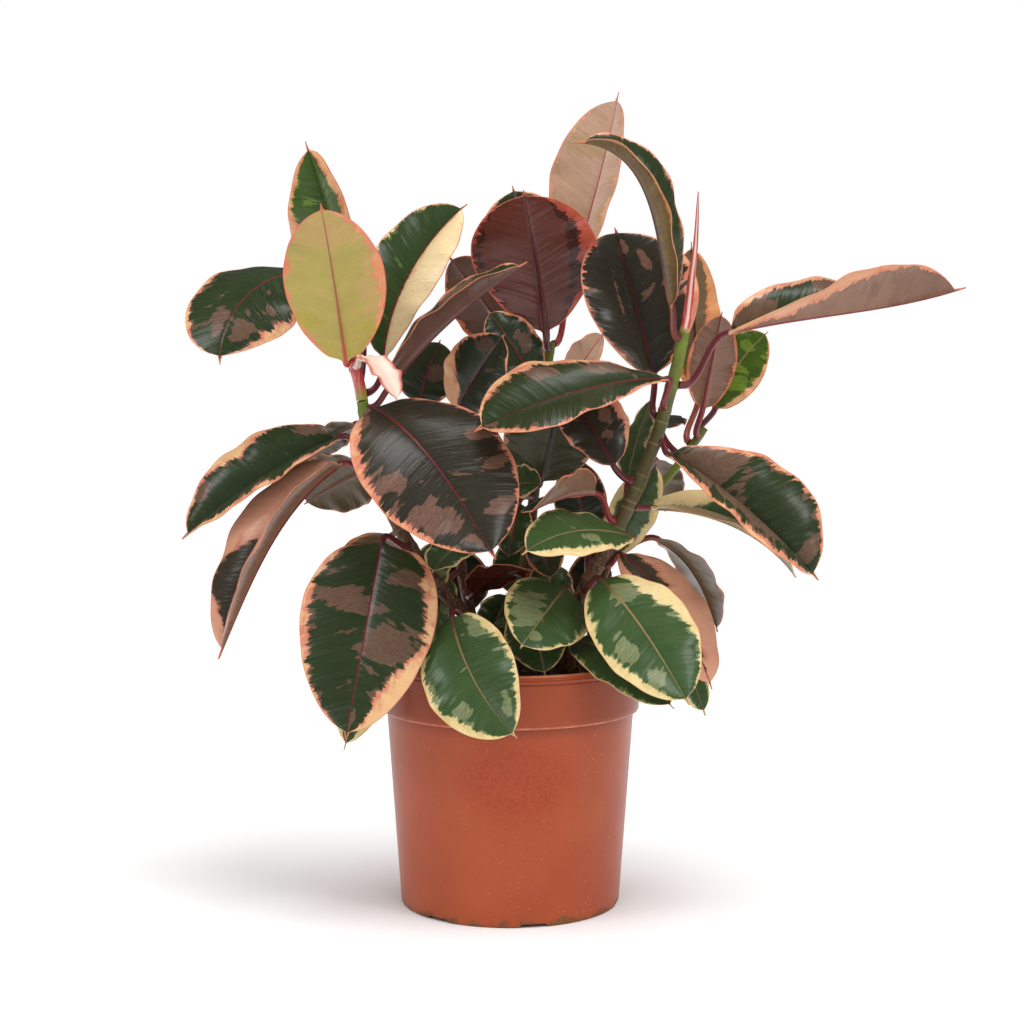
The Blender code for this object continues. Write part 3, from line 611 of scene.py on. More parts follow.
def leaf_face_group():
    """The colour and relief of one face of a blade, from its place on the blade."""
    inputs = [(name, "NodeSocketColor") for name in FACE_COLOURS]
    inputs += [(name, "NodeSocketFloat") for name in ("veins", "seed", "rib width")]
    outputs = (("colour", "NodeSocketColor"), ("height", "NodeSocketFloat"))
    _, nodes, given = new_group("leaf_face", "ShaderNodeTree", inputs, outputs)
    x, y, _ = nodes.split(nodes.uv("centimetres"))
    u, v, _ = nodes.split(nodes.uv("shares"))
    out = abs(y)
    along = x - out * VEIN_SLANT
    seed = given["seed"] + nodes.math("SIGN", y) * 5.3

    def strokes(pitch, stretch, shift, detail=4.0, roughness=0.62):
        """Noise drawn out along the side veins, about 0."""
        place = nodes.vector(along * pitch, out * stretch, seed + shift)
        return nodes.noise(place, 1.0, detail, roughness) - 0.5

    # Ground with faint lighter streaks, then the patches, their borders jagged along the side veins
    teeth = strokes(2.6, 0.5, 0.0, 5.0, 0.72)
    broad = strokes(0.5, 0.16, 21.0, 3.0, 0.5)
    jag = strokes(1.1, 0.35, 13.0, 2.0, 0.5)
    patch_depth = nodes.attribute("patch_depth") + (teeth * 1.3 + (jag * 1.9 + broad))
    stray = strokes(0.8, 0.3, 33.0, 3.0, 0.55) - 0.19 + teeth * 0.3
    patch = nodes.step(nodes.math("MAXIMUM", patch_depth, stray), 0.0, 0.012)
    margin_depth = nodes.attribute("margin_depth") + teeth * 0.42 + jag * 0.3
    margin = nodes.step(margin_depth, 0.0, 0.008)
    halo = nodes.step(margin_depth + jag * 0.5, -0.04, 0.008)
    streak = nodes.step(strokes(5.0, 0.3, 61.0), 0.0, 0.3)
    ground = nodes.mix(streak * 0.42, given["ground"], given["vein"])
    mottled = nodes.mix(nodes.step(strokes(6.0, 2.0, 71.0), 0.02, 0.12), given["patch"],
                        nodes.mix(0.35, given["patch"], given["ground"]))
    colour = nodes.mix(nodes.math("MAXIMUM", patch, halo), ground, mottled)

    # Side veins
    wave = along / VEIN_SPACING + nodes.noise(nodes.vector(along, out, seed), 0.5, 2.0) * 1.6
    vein = nodes.step(abs(nodes.math("FRACT", wave) - 0.5), 0.44, 0.06)
    colour = nodes.mix(vein * given["veins"], colour, given["vein"])

    # Margin, salmon where it meets the ground and paler further out, with flecks of the patches' tone
    drift = nodes.noise(nodes.vector(along * 0.5, out, seed + 71.0), 1.0, 2.0) - 0.5
    pale = nodes.step(margin_depth * 1.6 + drift * 1.3, 0.14, 0.16)
    pale = nodes.mix(pale, given["margin"], given["tint"])
    flecked = nodes.step(strokes(9.0, 3.0, 5.0, 2.0), 0.17, 0.04)
    pale = nodes.mix(flecked * 0.5, pale, given["patch"])
    pale = nodes.mix(vein * (given["veins"] * 0.3), pale, given["patch"])
    colour = nodes.mix(margin, colour, pale)

    # Rim, rib and petiole
    inside = (1.0 - abs(v)) * (out / nodes.math("MAXIMUM", abs(v), 0.01))
    colour = nodes.mix(nodes.step(RIM_WIDTH, inside, 0.03) * 0.8, colour, given["rim"])
    reach = given["rib width"] * (1.2 - nodes.math("MINIMUM", u, 1.0))
    rib = nodes.step(reach - out, 0.0, 0.02)
    ribbed = nodes.mix(nodes.step(-u, -0.1, 0.1), given["rib"], given["stalk"])
    stalk = nodes.step(-u, 0.0, 0.01)
    colour = nodes.mix(nodes.math("MAXIMUM", rib, stalk), colour, ribbed)

    # Pale dust and a fine mottle
    spot = nodes.vector(x, y, seed)
    cells = nodes.node("ShaderNodeTexVoronoi", named={"Vector": spot, "Scale": 3.6}).outputs
    chosen = nodes.step(nodes.split(cells["Color"])[0], 0.72, 0.02)
    dots = nodes.step(0.075, Value(nodes, cells["Distance"]), 0.03) * chosen
    colour = nodes.mix(dots * 0.5, colour, DUST)
    mottle = nodes.noise(spot, 7.0, 3.0)
    cloud = nodes.step(nodes.noise(nodes.vector(along, out * 0.5, seed), 0.6, 2.0), 0.5, 0.2)
    shade = nodes.mix(nodes.blend(0.4, mottle, cloud), DARKER, LIGHTER)
    colour = nodes.mix(0.45, colour, shade, "OVERLAY")
    swell = nodes.math("COSINE", wave * (2 * math.pi))
    ripple = strokes(1.6, 0.14, 91.0, 2.0, 0.5) + broad
    height = (swell * -0.05 + (mottle * 0.3 + ripple * 5.0)) * (1.0 - rib)
    nodes.node("NodeGroupOutput", named={"colour": colour, "height": height})


def leaf_material(name, look, seed, sizes):
    """A glossy blade with its upper face, its underside, its margin and its rib."""
    material, nodes, shader = new_material(
        name, Roughness=sizes.roughness, Coat_Weight=sizes.gloss, Coat_Roughness=0.16, IOR=1.45)
    colours, heights = [], []
    for face, rib_width in ((UPPER[look.upper], RIB_WIDTH_ABOVE), (UNDER[look.under], RIB_WIDTH_BELOW)):
        given = {socket: paint(*getattr(face, socket)) for socket in FACE_COLOURS}
        given |= {"veins": face.veins, "seed": seed, "rib width": rib_width}
        part = nodes.node("ShaderNodeGroup", named=given, node_tree=bpy.data.node_groups["leaf_face"])
        colours.append(part.outputs["colour"])
        heights.append(part.outputs["height"])
    under = nodes.attribute("underside")
    finish(nodes, shader, nodes.mix(under, *colours), nodes.blend(under, *heights), 0.4, 0.0006)
    return material


def new_object(name, data):
    """An object that is linked into the scene."""
    made = bpy.data.objects.new(name, data)
    bpy.context.scene.collection.objects.link(made)
    return made


def new_piece(name, points, faces, material, smooth_angle=40.0):
    """A mesh object whose points are given in millimetres."""
    mesh = bpy.data.meshes.new(name)
    mesh.from_pydata((np.asarray(points) * MM).tolist(), [], faces)
    mesh.materials.append(material)
    mesh.shade_smooth()
    mesh.set_sharp_from_angle(angle=math.radians(smooth_angle))
    return new_object(name, mesh)


def apply_modifiers(piece):
    """Give a piece the mesh that its modifiers make, and take them off."""
    made = bpy.data.meshes.new_from_object(piece.evaluated_get(bpy.context.evaluated_depsgraph_get()))
    piece.modifiers.clear()
    piece.data = made


def ring_faces(rings, columns, first=0):
    """Faces between closed rings of points, numbered ring by ring from the first."""
    ring, step = np.meshgrid(np.arange(rings - 1), np.arange(columns), indexing="ij")
    a = first + ring * columns + step
    b = first + ring * columns + (step + 1) % columns
    return np.stack((a, b, b + columns, a + columns), axis=-1).reshape(-1, 4).tolist()


def add_number(piece, name, values):
    """Give each of a piece's points a number that its material reads."""
    attribute = piece.data.attributes.new(name, "FLOAT", "POINT")
    attribute.data.foreach_set("value", np.asarray(values, dtype=np.float32).ravel())


def add_uv(piece, name, values):
    """Give a piece a UV map from a pair of numbers at each of its points."""
    layer = piece.data.uv_layers.new(name=name)
    corners = np.empty(len(piece.data.loops), dtype=np.int32)
    piece.data.loops.foreach_get("vertex_index", corners)
    layer.uv.foreach_set("vector", np.asarray(values, dtype=np.float32)[corners].ravel())


def hand_over(piece, slot, *nodes):
    """The piece rides with the plant and stands for these solids."""
    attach(piece, "root")
    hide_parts(*nodes)


def unit(vectors):
    return vectors / np.linalg.norm(vectors, axis=-1, keepdims=True)


def rows_dot(first, second):
    return (first * second).sum(-1, keepdims=True)


def smooth_path(points, steps):
    """Points on the smooth curve through the given ones."""
    knots = [np.array(point, dtype=float) for point in points]
    knots = [2 * knots[0] - knots[1]] + knots + [2 * knots[-1] - knots[-2]]
    path = []
    for before, start, end, after in zip(knots, knots[1:], knots[2:], knots[3:]):
        for step in range(steps):
            t = step / steps
            path.append(0.5 * (2 * start + (end - before) * t
                               + (2 * before - 5 * start + 4 * end - after) * t ** 2
                               + (3 * start - before - 3 * end + after) * t ** 3))
    path.append(knots[-2])
    return np.array(path)


class CanePath:
    """The middle line of a cane, with its radius, looked up by height."""

    def __init__(self, cane):
        self.cane = cane
        root = [(*cane.foot, level) for level in ROOT_LEVELS]
        self.line = smooth_path(root + list(cane.points), PATH_STEPS)
        self.fine = smooth_path(root + list(cane.points), FINE_PATH_STEPS)

    def radius(self, share):
        return self.cane.foot_radius + (self.cane.top_radius - self.cane.foot_radius) * share

    def at_height(self, height):
        line = self.line
        index = int(np.clip(np.searchsorted(line[:, 2], height) - 1, 0, len(line) - 2))
        low, high = line[index], line[index + 1]
        part = min(1.0, max(0.0, (height - low[2]) / (high[2] - low[2])))
        return low + (high - low) * part, unit(high - low), self.radius((index + part) / (len(line) - 1))


def bezier(ends, t):
    t = np.asarray(t, dtype=float)[:, None]
    a, b, c, d = ends
    return (1 - t) ** 3 * a + 3 * (1 - t) ** 2 * t * b + 3 * (1 - t) * t * t * c + t ** 3 * d


def bezier_direction(ends, t):
    t = np.asarray(t, dtype=float)[:, None]
    a, b, c, d = ends
    return unit((1 - t) ** 2 * (b - a) + 2 * (1 - t) * t * (c - b) + t * t * (d - c))


def carried(normal, start, end):
    """Turn normal by the smallest turn that takes direction start to each direction of end."""
    turned = normal - (rows_dot(end, normal) / (1 + rows_dot(end, start))) * (start + end)
    return unit(turned)


def half_width(along, widest):
    """The blade's half width as a share of its greatest, with a drip tip at the end."""
    power = math.log(0.5) / math.log(widest / BODY_END)
    body = np.sin(math.pi * np.minimum(1.0, along / BODY_END) ** power)
    body = np.where(along < BODY_END, np.maximum(0.0, body), 0.0) ** BODY_FULLNESS
    tip = DRIP_TIP * np.minimum(1.0, (1 - along) / TIP_CLOSING) * np.minimum(1.0, along / TIP_OPENING)
    return (body ** 3 + tip ** 3) ** (1 / 3)


def leaf_midrib(leaf):
    """The midrib's four curve points, its overall direction and the upper face's normal."""
    base, tip = np.array(leaf.base, dtype=float), np.array(leaf.tip, dtype=float)
    along = unit(tip - base)
    face = np.array(leaf.face, dtype=float)
    upward = unit(face - face.dot(along) * along)
    sideways = np.cross(along, upward)
    rise, droop, sway = (math.radians(angle) for angle in (leaf.rise, leaf.droop, leaf.sway))
    leaving = unit(along * math.cos(rise) + upward * math.sin(rise) + sideways * math.sin(sway))
    arriving = unit(along * math.cos(droop) - upward * math.sin(droop) - sideways * math.sin(sway))
    span = np.linalg.norm(tip - base)
    first = span / (3 * math.cos(rise / 2) ** 2)
    second = span / (3 * math.cos(droop / 2) ** 2)
    return np.array((base, base + leaving * first, tip - arriving * second, tip)), along, upward


def petiole_curve(leaf, path, base, tangent):
    """The petiole's four curve points, from just off the cane to the blade."""
    place, up, radius = path.at_height(leaf.node)
    outward = base - place
    outward = unit(outward - outward.dot(up) * up)
    start = place + outward * (radius + CLEARANCE)
    reach = np.linalg.norm(base - start) * PETIOLE_REACH
    return np.array((start, start + outward * reach, base - tangent * reach, base))


def leaf_rows(leaf, path):
    """Middle, tangent, normal and share along the blade of every cross-section.

    The share is below 0 on the petiole, where it counts in petiole lengths."""
    ends, along, upward = leaf_midrib(leaf)
    even = np.linspace(0.0, 1.0, BLADE_ROWS)
    shares = ROW_CROWDING * (0.5 - 0.5 * np.cos(math.pi * even)) + (1 - ROW_CROWDING) * even
    tangents = bezier_direction(ends, shares)
    normals = carried(upward, along, tangents)
    twist = np.radians(leaf.twist) * (shares - 0.5)[:, None]
    sides = np.cross(tangents, normals)
    normals = normals * np.cos(twist) + sides * np.sin(twist)
    stalk = petiole_curve(leaf, path, ends[0], tangents[0])
    steps = np.linspace(0.0, 1.0, PETIOLE_ROWS, endpoint=False)
    stalk_tangents = bezier_direction(stalk, steps)
    stalk_normals = carried(normals[0], tangents[0], stalk_tangents)
    middles = np.vstack((bezier(stalk, steps), bezier(ends, shares)))
    return (middles, np.vstack((stalk_tangents, tangents)), np.vstack((stalk_normals, normals)),
            np.concatenate((steps - 1.0, shares)))


def blade_section(leaf, shares, sizes, seed):
    """Sideways and upward offsets, in millimetres, of the upper and lower points of each row."""
    count = np.arange(-HALF_COLUMNS, HALF_COLUMNS + 1) / HALF_COLUMNS
    sign = np.sign(count)
    t = np.abs(count) ** COLUMN_CROWDING
    around = np.sin(count * math.pi / 2)
    blade = np.clip(shares, 0.0, 1.0)[:, None]
    half = np.maximum(half_width(blade, leaf.widest) * leaf.width / 2, POINT_HALF_WIDTH)
    half = np.where(blade < NECK_END, NECK_HALF_WIDTH, half)
    reach = t * half
    # Each half leaves the rib steeper than its mean fold and flattens towards the margin.
    fold = np.radians(np.where(sign > 0, leaf.fold_right, leaf.fold_left))
    angle = fold * (1.22 - 0.44 * t) + np.radians(BLADE_BEND) * (0.5 - t)
    sideways = sign * reach * np.cos(angle)
    phase = seed * 1.7 + sign * 2.1
    waves = np.sin(blade * WAVE_RADIANS + phase) + 0.6 * np.sin(blade * RIPPLE_RADIANS + 2.3 * phase)
    waves = waves * t ** 2 * np.sin(math.pi * blade) ** 0.5
    upward = reach * np.sin(angle) + sizes.wave / MM * waves
    rib_radius = RIB_END_RADIUS + (PETIOLE_RADIUS - RIB_END_RADIUS) * (1 - blade) ** 1.3
    rib = np.exp(-(reach / rib_radius) ** 2)
    upper = upward - RIB_GROOVE * rib
    thickness = BLADE_THICKNESS + (MARGIN_THICKNESS - BLADE_THICKNESS) * t ** 3
    lower = upward - thickness - RIB_DEPTH * rib_radius * rib
    # The petiole is round, and so is the first bit of the blade.
    round_share = np.clip(1 - shares / STALK_LENGTH, 0.0, 1.0)[:, None]
    round_share = round_share * round_share * (3 - 2 * round_share)
    stalk = PETIOLE_RADIUS * (1 + PETIOLE_FLARE * np.clip(-shares, 0.0, 1.0) ** 6)[:, None]
    centre = -BLADE_THICKNESS * np.clip(1 + shares, 0.0, 1.0)[:, None]
    ring = np.sqrt(np.maximum(0.0, 1 - around ** 2)) * stalk
    sideways = sideways * (1 - round_share) + around * stalk * round_share
    upper = upper * (1 - round_share) + (centre + ring) * round_share
    lower = lower * (1 - round_share) + (centre - ring) * round_share
    return sideways, upper, lower, half, sign * t


def variegation(look, shares, spread):
    """How deep each point lies in the margin, and how deep in a patch; both are below 0 outside."""
    along = np.clip(shares, 0.0, 1.0)[:, None]
    across = spread[None, :]
    left = np.interp(along, np.linspace(0.0, 1.0, len(look.left)), look.left)
    right = np.interp(along, np.linspace(0.0, 1.0, len(look.right)), look.right)
    width = np.where(across < 0, left, np.where(across > 0, right, (left + right) / 2))
    margin = width - (1 - np.abs(across))
    patch = np.full(margin.shape, -1.0)
    for u, v, length_share, breadth in look.patches:
        away = np.hypot((along - u) / length_share, (across - v) / breadth)
        patch = np.maximum(patch, 1 - away)
    return margin, patch


def build_blade(name, leaf, path, look, material, sizes, seed):
    """A petiole and its blade as one closed mesh, with its finish's coordinates."""
    middles, tangents, normals, shares = leaf_rows(leaf, path)
    sideways, upper, lower, half, spread = blade_section(leaf, shares, sizes, seed)
    beside = middles[:, None] + np.cross(tangents, normals)[:, None] * sideways[..., None]
    top = beside + normals[:, None] * upper[..., None]
    bottom = beside + normals[:, None] * lower[..., None]
    rings = np.concatenate((top, bottom[:, ::-1]), axis=1)
    rows, around = rings.shape[:2]
    faces = ring_faces(rows, around)
    for first in (0, (rows - 1) * around):
        for column in range(len(spread) - 1):
            far = around - 1 - column
            cap = [first + column, first + far, first + far - 1, first + column + 1]
            faces.append(cap if first == 0 else cap[::-1])
    piece = new_piece(name, rings.reshape(-1, 3), faces, material)
    lengths = np.concatenate(([0.0], np.cumsum(np.linalg.norm(np.diff(middles, axis=0), axis=1))))
    lengths = (lengths - lengths[PETIOLE_ROWS])[:, None]
    across = np.concatenate((spread, spread[::-1]))[None]
    maps = {"centimetres": (lengths * 0.1, across * half * 0.1), "shares": (shares[:, None], across)}
    for title, pair in maps.items():
        add_uv(piece, title, np.stack(np.broadcast_arrays(*pair), axis=-1).reshape(-1, 2))
    add_number(piece, "underside", np.tile(np.repeat((0.0, 1.0), len(spread)), rows))
    for field, values in zip(("margin_depth", "patch_depth"), variegation(look, shares, across[0])):
        add_number(piece, field, values)
    return piece


class BuildLeaves(bpy.types.Operator):
    """Build every leaf with its petiole, midrib, side veins and variegation"""

    bl_idname = "rubber_plant.build_leaves"
    bl_label = "Leaves"

    def execute(self, context):
        sizes = context.scene.rubber_plant.leaves
        leaf_face_group()
        seed = 0
        for cane_name, leaves in LEAVES.items():
            path = CanePath(CANES[cane_name])
            for number, (leaf, look) in enumerate(zip(leaves, LOOKS[cane_name], strict=True), 1):
                seed += 1
                node = f"leaf_{cane_name}_{number:02d}"
                material = leaf_material(node + "_finish", look, seed * SEED_STEP, sizes)
                piece = build_blade(node + "_blade", leaf, path, look, material, sizes, seed)
                hand_over(piece, "leaf_green", node)
        for number, (cane_name, leaf, upper, under) in enumerate(INNER, 1):
            look = Look(upper, under, patches=((0.5, 0.4 * (-1) ** number, 0.12, 0.4),))
            name = f"inner_leaf_{number:02d}"
            material = leaf_material(name + "_finish", look, INNER_SEED + number * SEED_STEP, sizes)
            piece = build_blade(name, leaf, CanePath(CANES[cane_name]), look, material, sizes, number)
            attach(piece, "root")
        return {"FINISHED"}


def sheath_material():
    """Waxy pink and red bud sheath, greener towards its foot, with a painted highlight in pale stripes
    along it.
    """
    material, nodes, shader = new_material(
        "bud_sheath", Roughness=0.35, Coat_Weight=0.4, Coat_Roughness=0.2)
    streaks = nodes.noise(nodes.stretched(420.0, 22.0))
    red = nodes.mix(nodes.step(streaks, 0.52, 0.12), paint(172, 38, 44), paint(226, 128, 112))
    # Pale stripes where the fold number is high, one of them facing the camera: a painted highlight
    red = nodes.mix(nodes.step(nodes.attribute("fold"), 0.55, 0.2) * 0.8, red, paint(244, 214, 200))
    green = nodes.mix(streaks, paint(120, 128, 44), paint(176, 150, 76))
    colour = nodes.mix(nodes.step(nodes.attribute("low"), 0.5, 0.3), red, green)
    finish(nodes, shader, colour, streaks, 0.3, 0.0004)
    return material


def stipule_material():
    """The thin pink scale beside the left bud, with a red edge."""
    material, nodes, shader = new_material("stipule", Roughness=0.4, Coat_Weight=0.25, Coat_Roughness=0.25)
    x, y, _ = nodes.split(nodes.uv("centimetres"))
    _, v, _ = nodes.split(nodes.uv("shares"))
    streaks = nodes.noise(nodes.vector(x * 1.2, y * 14.0, 3.0))
    inner = nodes.mix(streaks, paint(224, 190, 172), paint(240, 220, 204))
    colour = nodes.mix(nodes.step(abs(v), 0.8, 0.12), inner, paint(206, 104, 88))
    finish(nodes, shader, colour, streaks, 0.3, 0.0003)
    return material


def tube_piece(name, line, radii, sides, material, **fields):
    """A closed tube. Its radii and its material's numbers are one a ring, or one a point."""
    def spread(values):
        return np.broadcast_to(np.reshape(values, (len(line), -1)), (len(line), sides))

    directions = unit(np.gradient(line, axis=0))
    side = unit(np.cross(directions, (0.0, 1.0, 0.0)))[:, None]
    front = np.cross(directions, side[:, 0])[:, None]
    turns = np.linspace(0.0, 2 * math.pi, sides, endpoint=False)[None, :, None]
    rings = line[:, None] + (side * np.cos(turns) + front * np.sin(turns)) * spread(radii)[..., None]
    last = (len(line) - 1) * sides
    ends = [list(range(sides))[::-1], list(range(last, last + sides))]
    piece = new_piece(name, rings.reshape(-1, 3), ring_faces(len(line), sides) + ends, material)
    for field, values in fields.items():
        add_number(piece, field, spread(values))
    return piece


def even_rows(line, spacing):
    """Points at an even spacing along a line."""
    run = np.concatenate(([0.0], np.cumsum(np.linalg.norm(np.diff(line, axis=0), axis=1))))
    marks = np.linspace(0.0, run[-1], max(3, int(run[-1] / spacing)))
    return np.stack([np.interp(marks, run, line[:, axis]) for axis in range(3)], axis=1)


class BuildSheaths(bpy.types.Operator):
    """Build the bud sheaths of the left and right canes and the left bud's scale"""

    bl_idname = "rubber_plant.build_sheaths"
    bl_label = "Bud sheaths"

    def execute(self, context):
        material = sheath_material()
        left, right = CanePath(CANES["left"]), CanePath(CANES["right"])
        foot, direction, radius = left.at_height(left.cane.bare_to)
        above = [point for point in left.line if point[2] > left.cane.bare_to + 4]
        line = smooth_path([foot + direction * CLEARANCE] + above + [above[-1] + direction * 8.0], 8)
        part = np.linspace(0.0, 1.0, len(line))
        radii = np.interp(part, (0.0, 0.15, 0.8, 0.93, 1.0), (radius, radius, 5.0, 3.6, 1.0))
        low = np.clip(1.0 - part * 2.4, 0.0, 1.0)
        piece = tube_piece("bud_sheath_left", line, radii, SHEATH_SIDES, material, low=low)
        hand_over(piece, "sheath_pink", "sheath_left")
        top, direction, _ = right.at_height(right.cane.bare_to)
        line = smooth_path([top + direction * 2 * CLEARANCE, *RIGHT_SHEATH], 14)
        part = np.linspace(0.0, 1.0, len(line))[:, None]
        radii = np.interp(part, (0.0, 0.25, 0.5, 0.75, 0.9, 1.0), (3.9, 4.2, 3.7, 2.4, 1.4, 0.5))
        turns = np.linspace(0.0, 2 * math.pi, SHEATH_SIDES, endpoint=False)
        seam = 1 + 0.08 * np.cos(turns * 2 + part * 5)
        low = np.clip(1.0 - part * 9.0, 0.0, 1.0)
        # Three stripes round the sheath, one facing the camera, where its material paints a highlight
        fold = np.tile(np.cos(3 * turns + math.pi / 2), len(line))
        piece = tube_piece("bud_sheath_right", line, radii * seam, SHEATH_SIDES, material,
                           low=low, fold=fold)
        hand_over(piece, "sheath_pink", "sheath_right")
        sizes = context.scene.rubber_plant.leaves
        piece = build_blade("bud_scale", STIPULE, left, Look("green", "pale"), stipule_material(), sizes, 3)
        hand_over(piece, "sheath_pink", "stipule_left")
        return {"FINISHED"}


def cane_material(sizes):
    """Green young bark that turns brown and cracked towards the soil, with pale leaf scars."""
    material, nodes, shader = new_material(
        "cane_bark_finish", Roughness=0.5, Coat_Weight=0.05, Coat_Roughness=0.3)
    place = nodes.place()
    cracks = nodes.noise(nodes.stretched(300.0, 70.0), 1.0, 5.0, 0.7)
    blotch = nodes.noise(place, 55.0, 3.0)
    old = nodes.step(nodes.attribute("age") + (blotch - 0.5) * 0.7, 0.5, 0.14)
    young = nodes.mix(nodes.attribute("youth"), tuple(sizes.olive), tuple(sizes.green))
    young = nodes.mix(nodes.step(blotch, 0.54, 0.1) * 0.5, young, paint(86, 60, 40))
    bark = nodes.mix(nodes.step(cracks, 0.5, 0.14), paint(56, 32, 22), tuple(sizes.brown))
    bark = nodes.mix(nodes.step(nodes.noise(place, 420.0, 2.0), 0.66, 0.03), bark, paint(168, 140, 110))
    colour = nodes.mix(old, young, bark)
    colour = nodes.mix(nodes.step(nodes.attribute("scar"), 0.6, 0.12) * 0.7, colour, tuple(sizes.scar))
    finish(nodes, shader, colour, cracks * nodes.blend(old, 0.25, 1.0), 0.6, 0.0008)
    return material


class BuildCanes(bpy.types.Operator):
    """Build the canes with their nodes, leaf scars and bark"""

    bl_idname = "rubber_plant.build_canes"
    bl_label = "Canes"

    def execute(self, context):
        sizes = context.scene.rubber_plant.canes
        material = cane_material(sizes)
        turns = np.linspace(0.0, 2 * math.pi, CANE_SIDES, endpoint=False)
        for name, cane in CANES.items():
            path = CanePath(cane)
            line = even_rows(path.fine, CANE_SPACING)
            line = line[line[:, 2] < cane.bare_to - 0.5]
            line = np.vstack((line, path.at_height(cane.bare_to)[0]))
            heights = line[:, 2]
            radii = np.array([path.at_height(height)[2] for height in heights])
            nearest = np.min([np.abs(heights - leaf.node + SCAR_DROP) for leaf in LEAVES[name]], axis=0)
            swelling = np.exp(-(nearest / SWELLING_WIDTH) ** 2)
            knots = 1 + 0.012 * np.sin(turns[None] * 3 + heights[:, None] * 0.11)
            radii = (radii + sizes.node_swelling / MM * (swelling - 0.35))[:, None] * knots
            piece = tube_piece(f"cane_{name}_bark", line, radii, CANE_SIDES, material,
                               scar=np.exp(-(nearest / SCAR_WIDTH) ** 2),
                               youth=np.clip((heights - cane.bare_to + YOUNG_SPAN) / YOUNG_EASE, 0.0, 1.0),
                               age=np.clip((OLD_BELOW - heights) / OLD_EASE, 0.0, 1.0))
            hand_over(piece, "cane_bark", "cane_" + name)
        return {"FINISHED"}


def pot_material(sizes):
    """Moulded plastic with scuffs, specks, a damp patch in front and dirt at the foot, and painted
    highlight lines at the collar's edge and the lip over painted shade on and under the collar.
    """
    material, nodes, shader = new_material(
        "pot_plastic", Specular_IOR_Level=0.3, Coat_Weight=0.08, Coat_Roughness=0.2)
    place = nodes.place()
    x, y, z = nodes.split(place)
    haze = nodes.noise(place, 9.0, 4.0)
    sparse = nodes.step(nodes.noise(place, 30.0, 2.0), 0.52, 0.1)
    specks = nodes.step(nodes.noise(place, 520.0, 2.0), 0.70, 0.02) * sparse
    scuffs = nodes.step(nodes.noise(nodes.stretched(60.0, 500.0)), 0.73, 0.03) * sparse
    body = nodes.mix(nodes.step(haze, 0.52, 0.2), tuple(sizes.body), paint(154, 64, 29))
    body = nodes.mix(specks * 0.6, body, paint(222, 170, 140))
    body = nodes.mix(scuffs * 0.3, body, paint(216, 150, 118))
    # A damp patch on the front, below the collar
    across = (x - DAMP_CENTRE[0]) / DAMP_REACH[0]
    up = (z - DAMP_CENTRE[1]) / DAMP_REACH[1]
    away = nodes.math("SQRT", across * across + up * up) + haze * 0.5
    damp = (1.0 - nodes.step(away, 1.1, 0.25)) * nodes.step(-y, 0.05, 0.02)
    beads = nodes.step(nodes.noise(place, 330.0, 2.0), 0.56, 0.06)
    body = nodes.mix(damp * nodes.blend(beads, 0.35, 0.75), body, paint(150, 44, 12))
    # A painted highlight line at the collar's edge, broken up by noise, over a painted shadow band, and
    # another painted highlight line round the lip
    base = sizes.collar_base
    painted_highlight = nodes.blend(nodes.step(nodes.noise(place, 60.0, 3.0), 0.5, 0.1), 0.35, 0.8)
    for level in (base + 0.0008, sizes.height - 0.0004):
        far = nodes.step(abs(z - level), 0.0009, 0.0005)
        body = nodes.mix((1.0 - far) * painted_highlight, body, paint(216, 138, 100))
    # Painted shadow in a band just under the collar
    under = nodes.step(z, base - 0.0065, 0.005) * (1.0 - nodes.step(z, base - 0.0006, 0.0003))
    body = nodes.mix(under * 0.4, body, paint(96, 34, 16))
    # The whole collar darker: painted shade from the leaves over it
    body = nodes.mix(nodes.step(z, base + 0.001, 0.0005) * 0.4, body, paint(110, 40, 16))
    # Dirt at the foot
    splash = nodes.noise(place, 70.0, 5.0, 0.7)
    dirt = nodes.step((splash - 0.44) * 0.04 - (z - 0.0012), 0.0, 0.0025)
    algae = nodes.step(nodes.noise(place, 160.0, 2.0), 0.55, 0.05)
    body = nodes.mix(dirt * 0.7, body, nodes.mix(algae, tuple(sizes.dirt), paint(92, 92, 40)))
    nodes.put(shader.inputs["Roughness"], haze * 0.18 + 0.28 + dirt * 0.35)
    relief = nodes.noise(place, 700.0, 2.0) * 0.4 + beads * damp
    finish(nodes, shader, body, relief, 0.12, 0.0004)
    return material


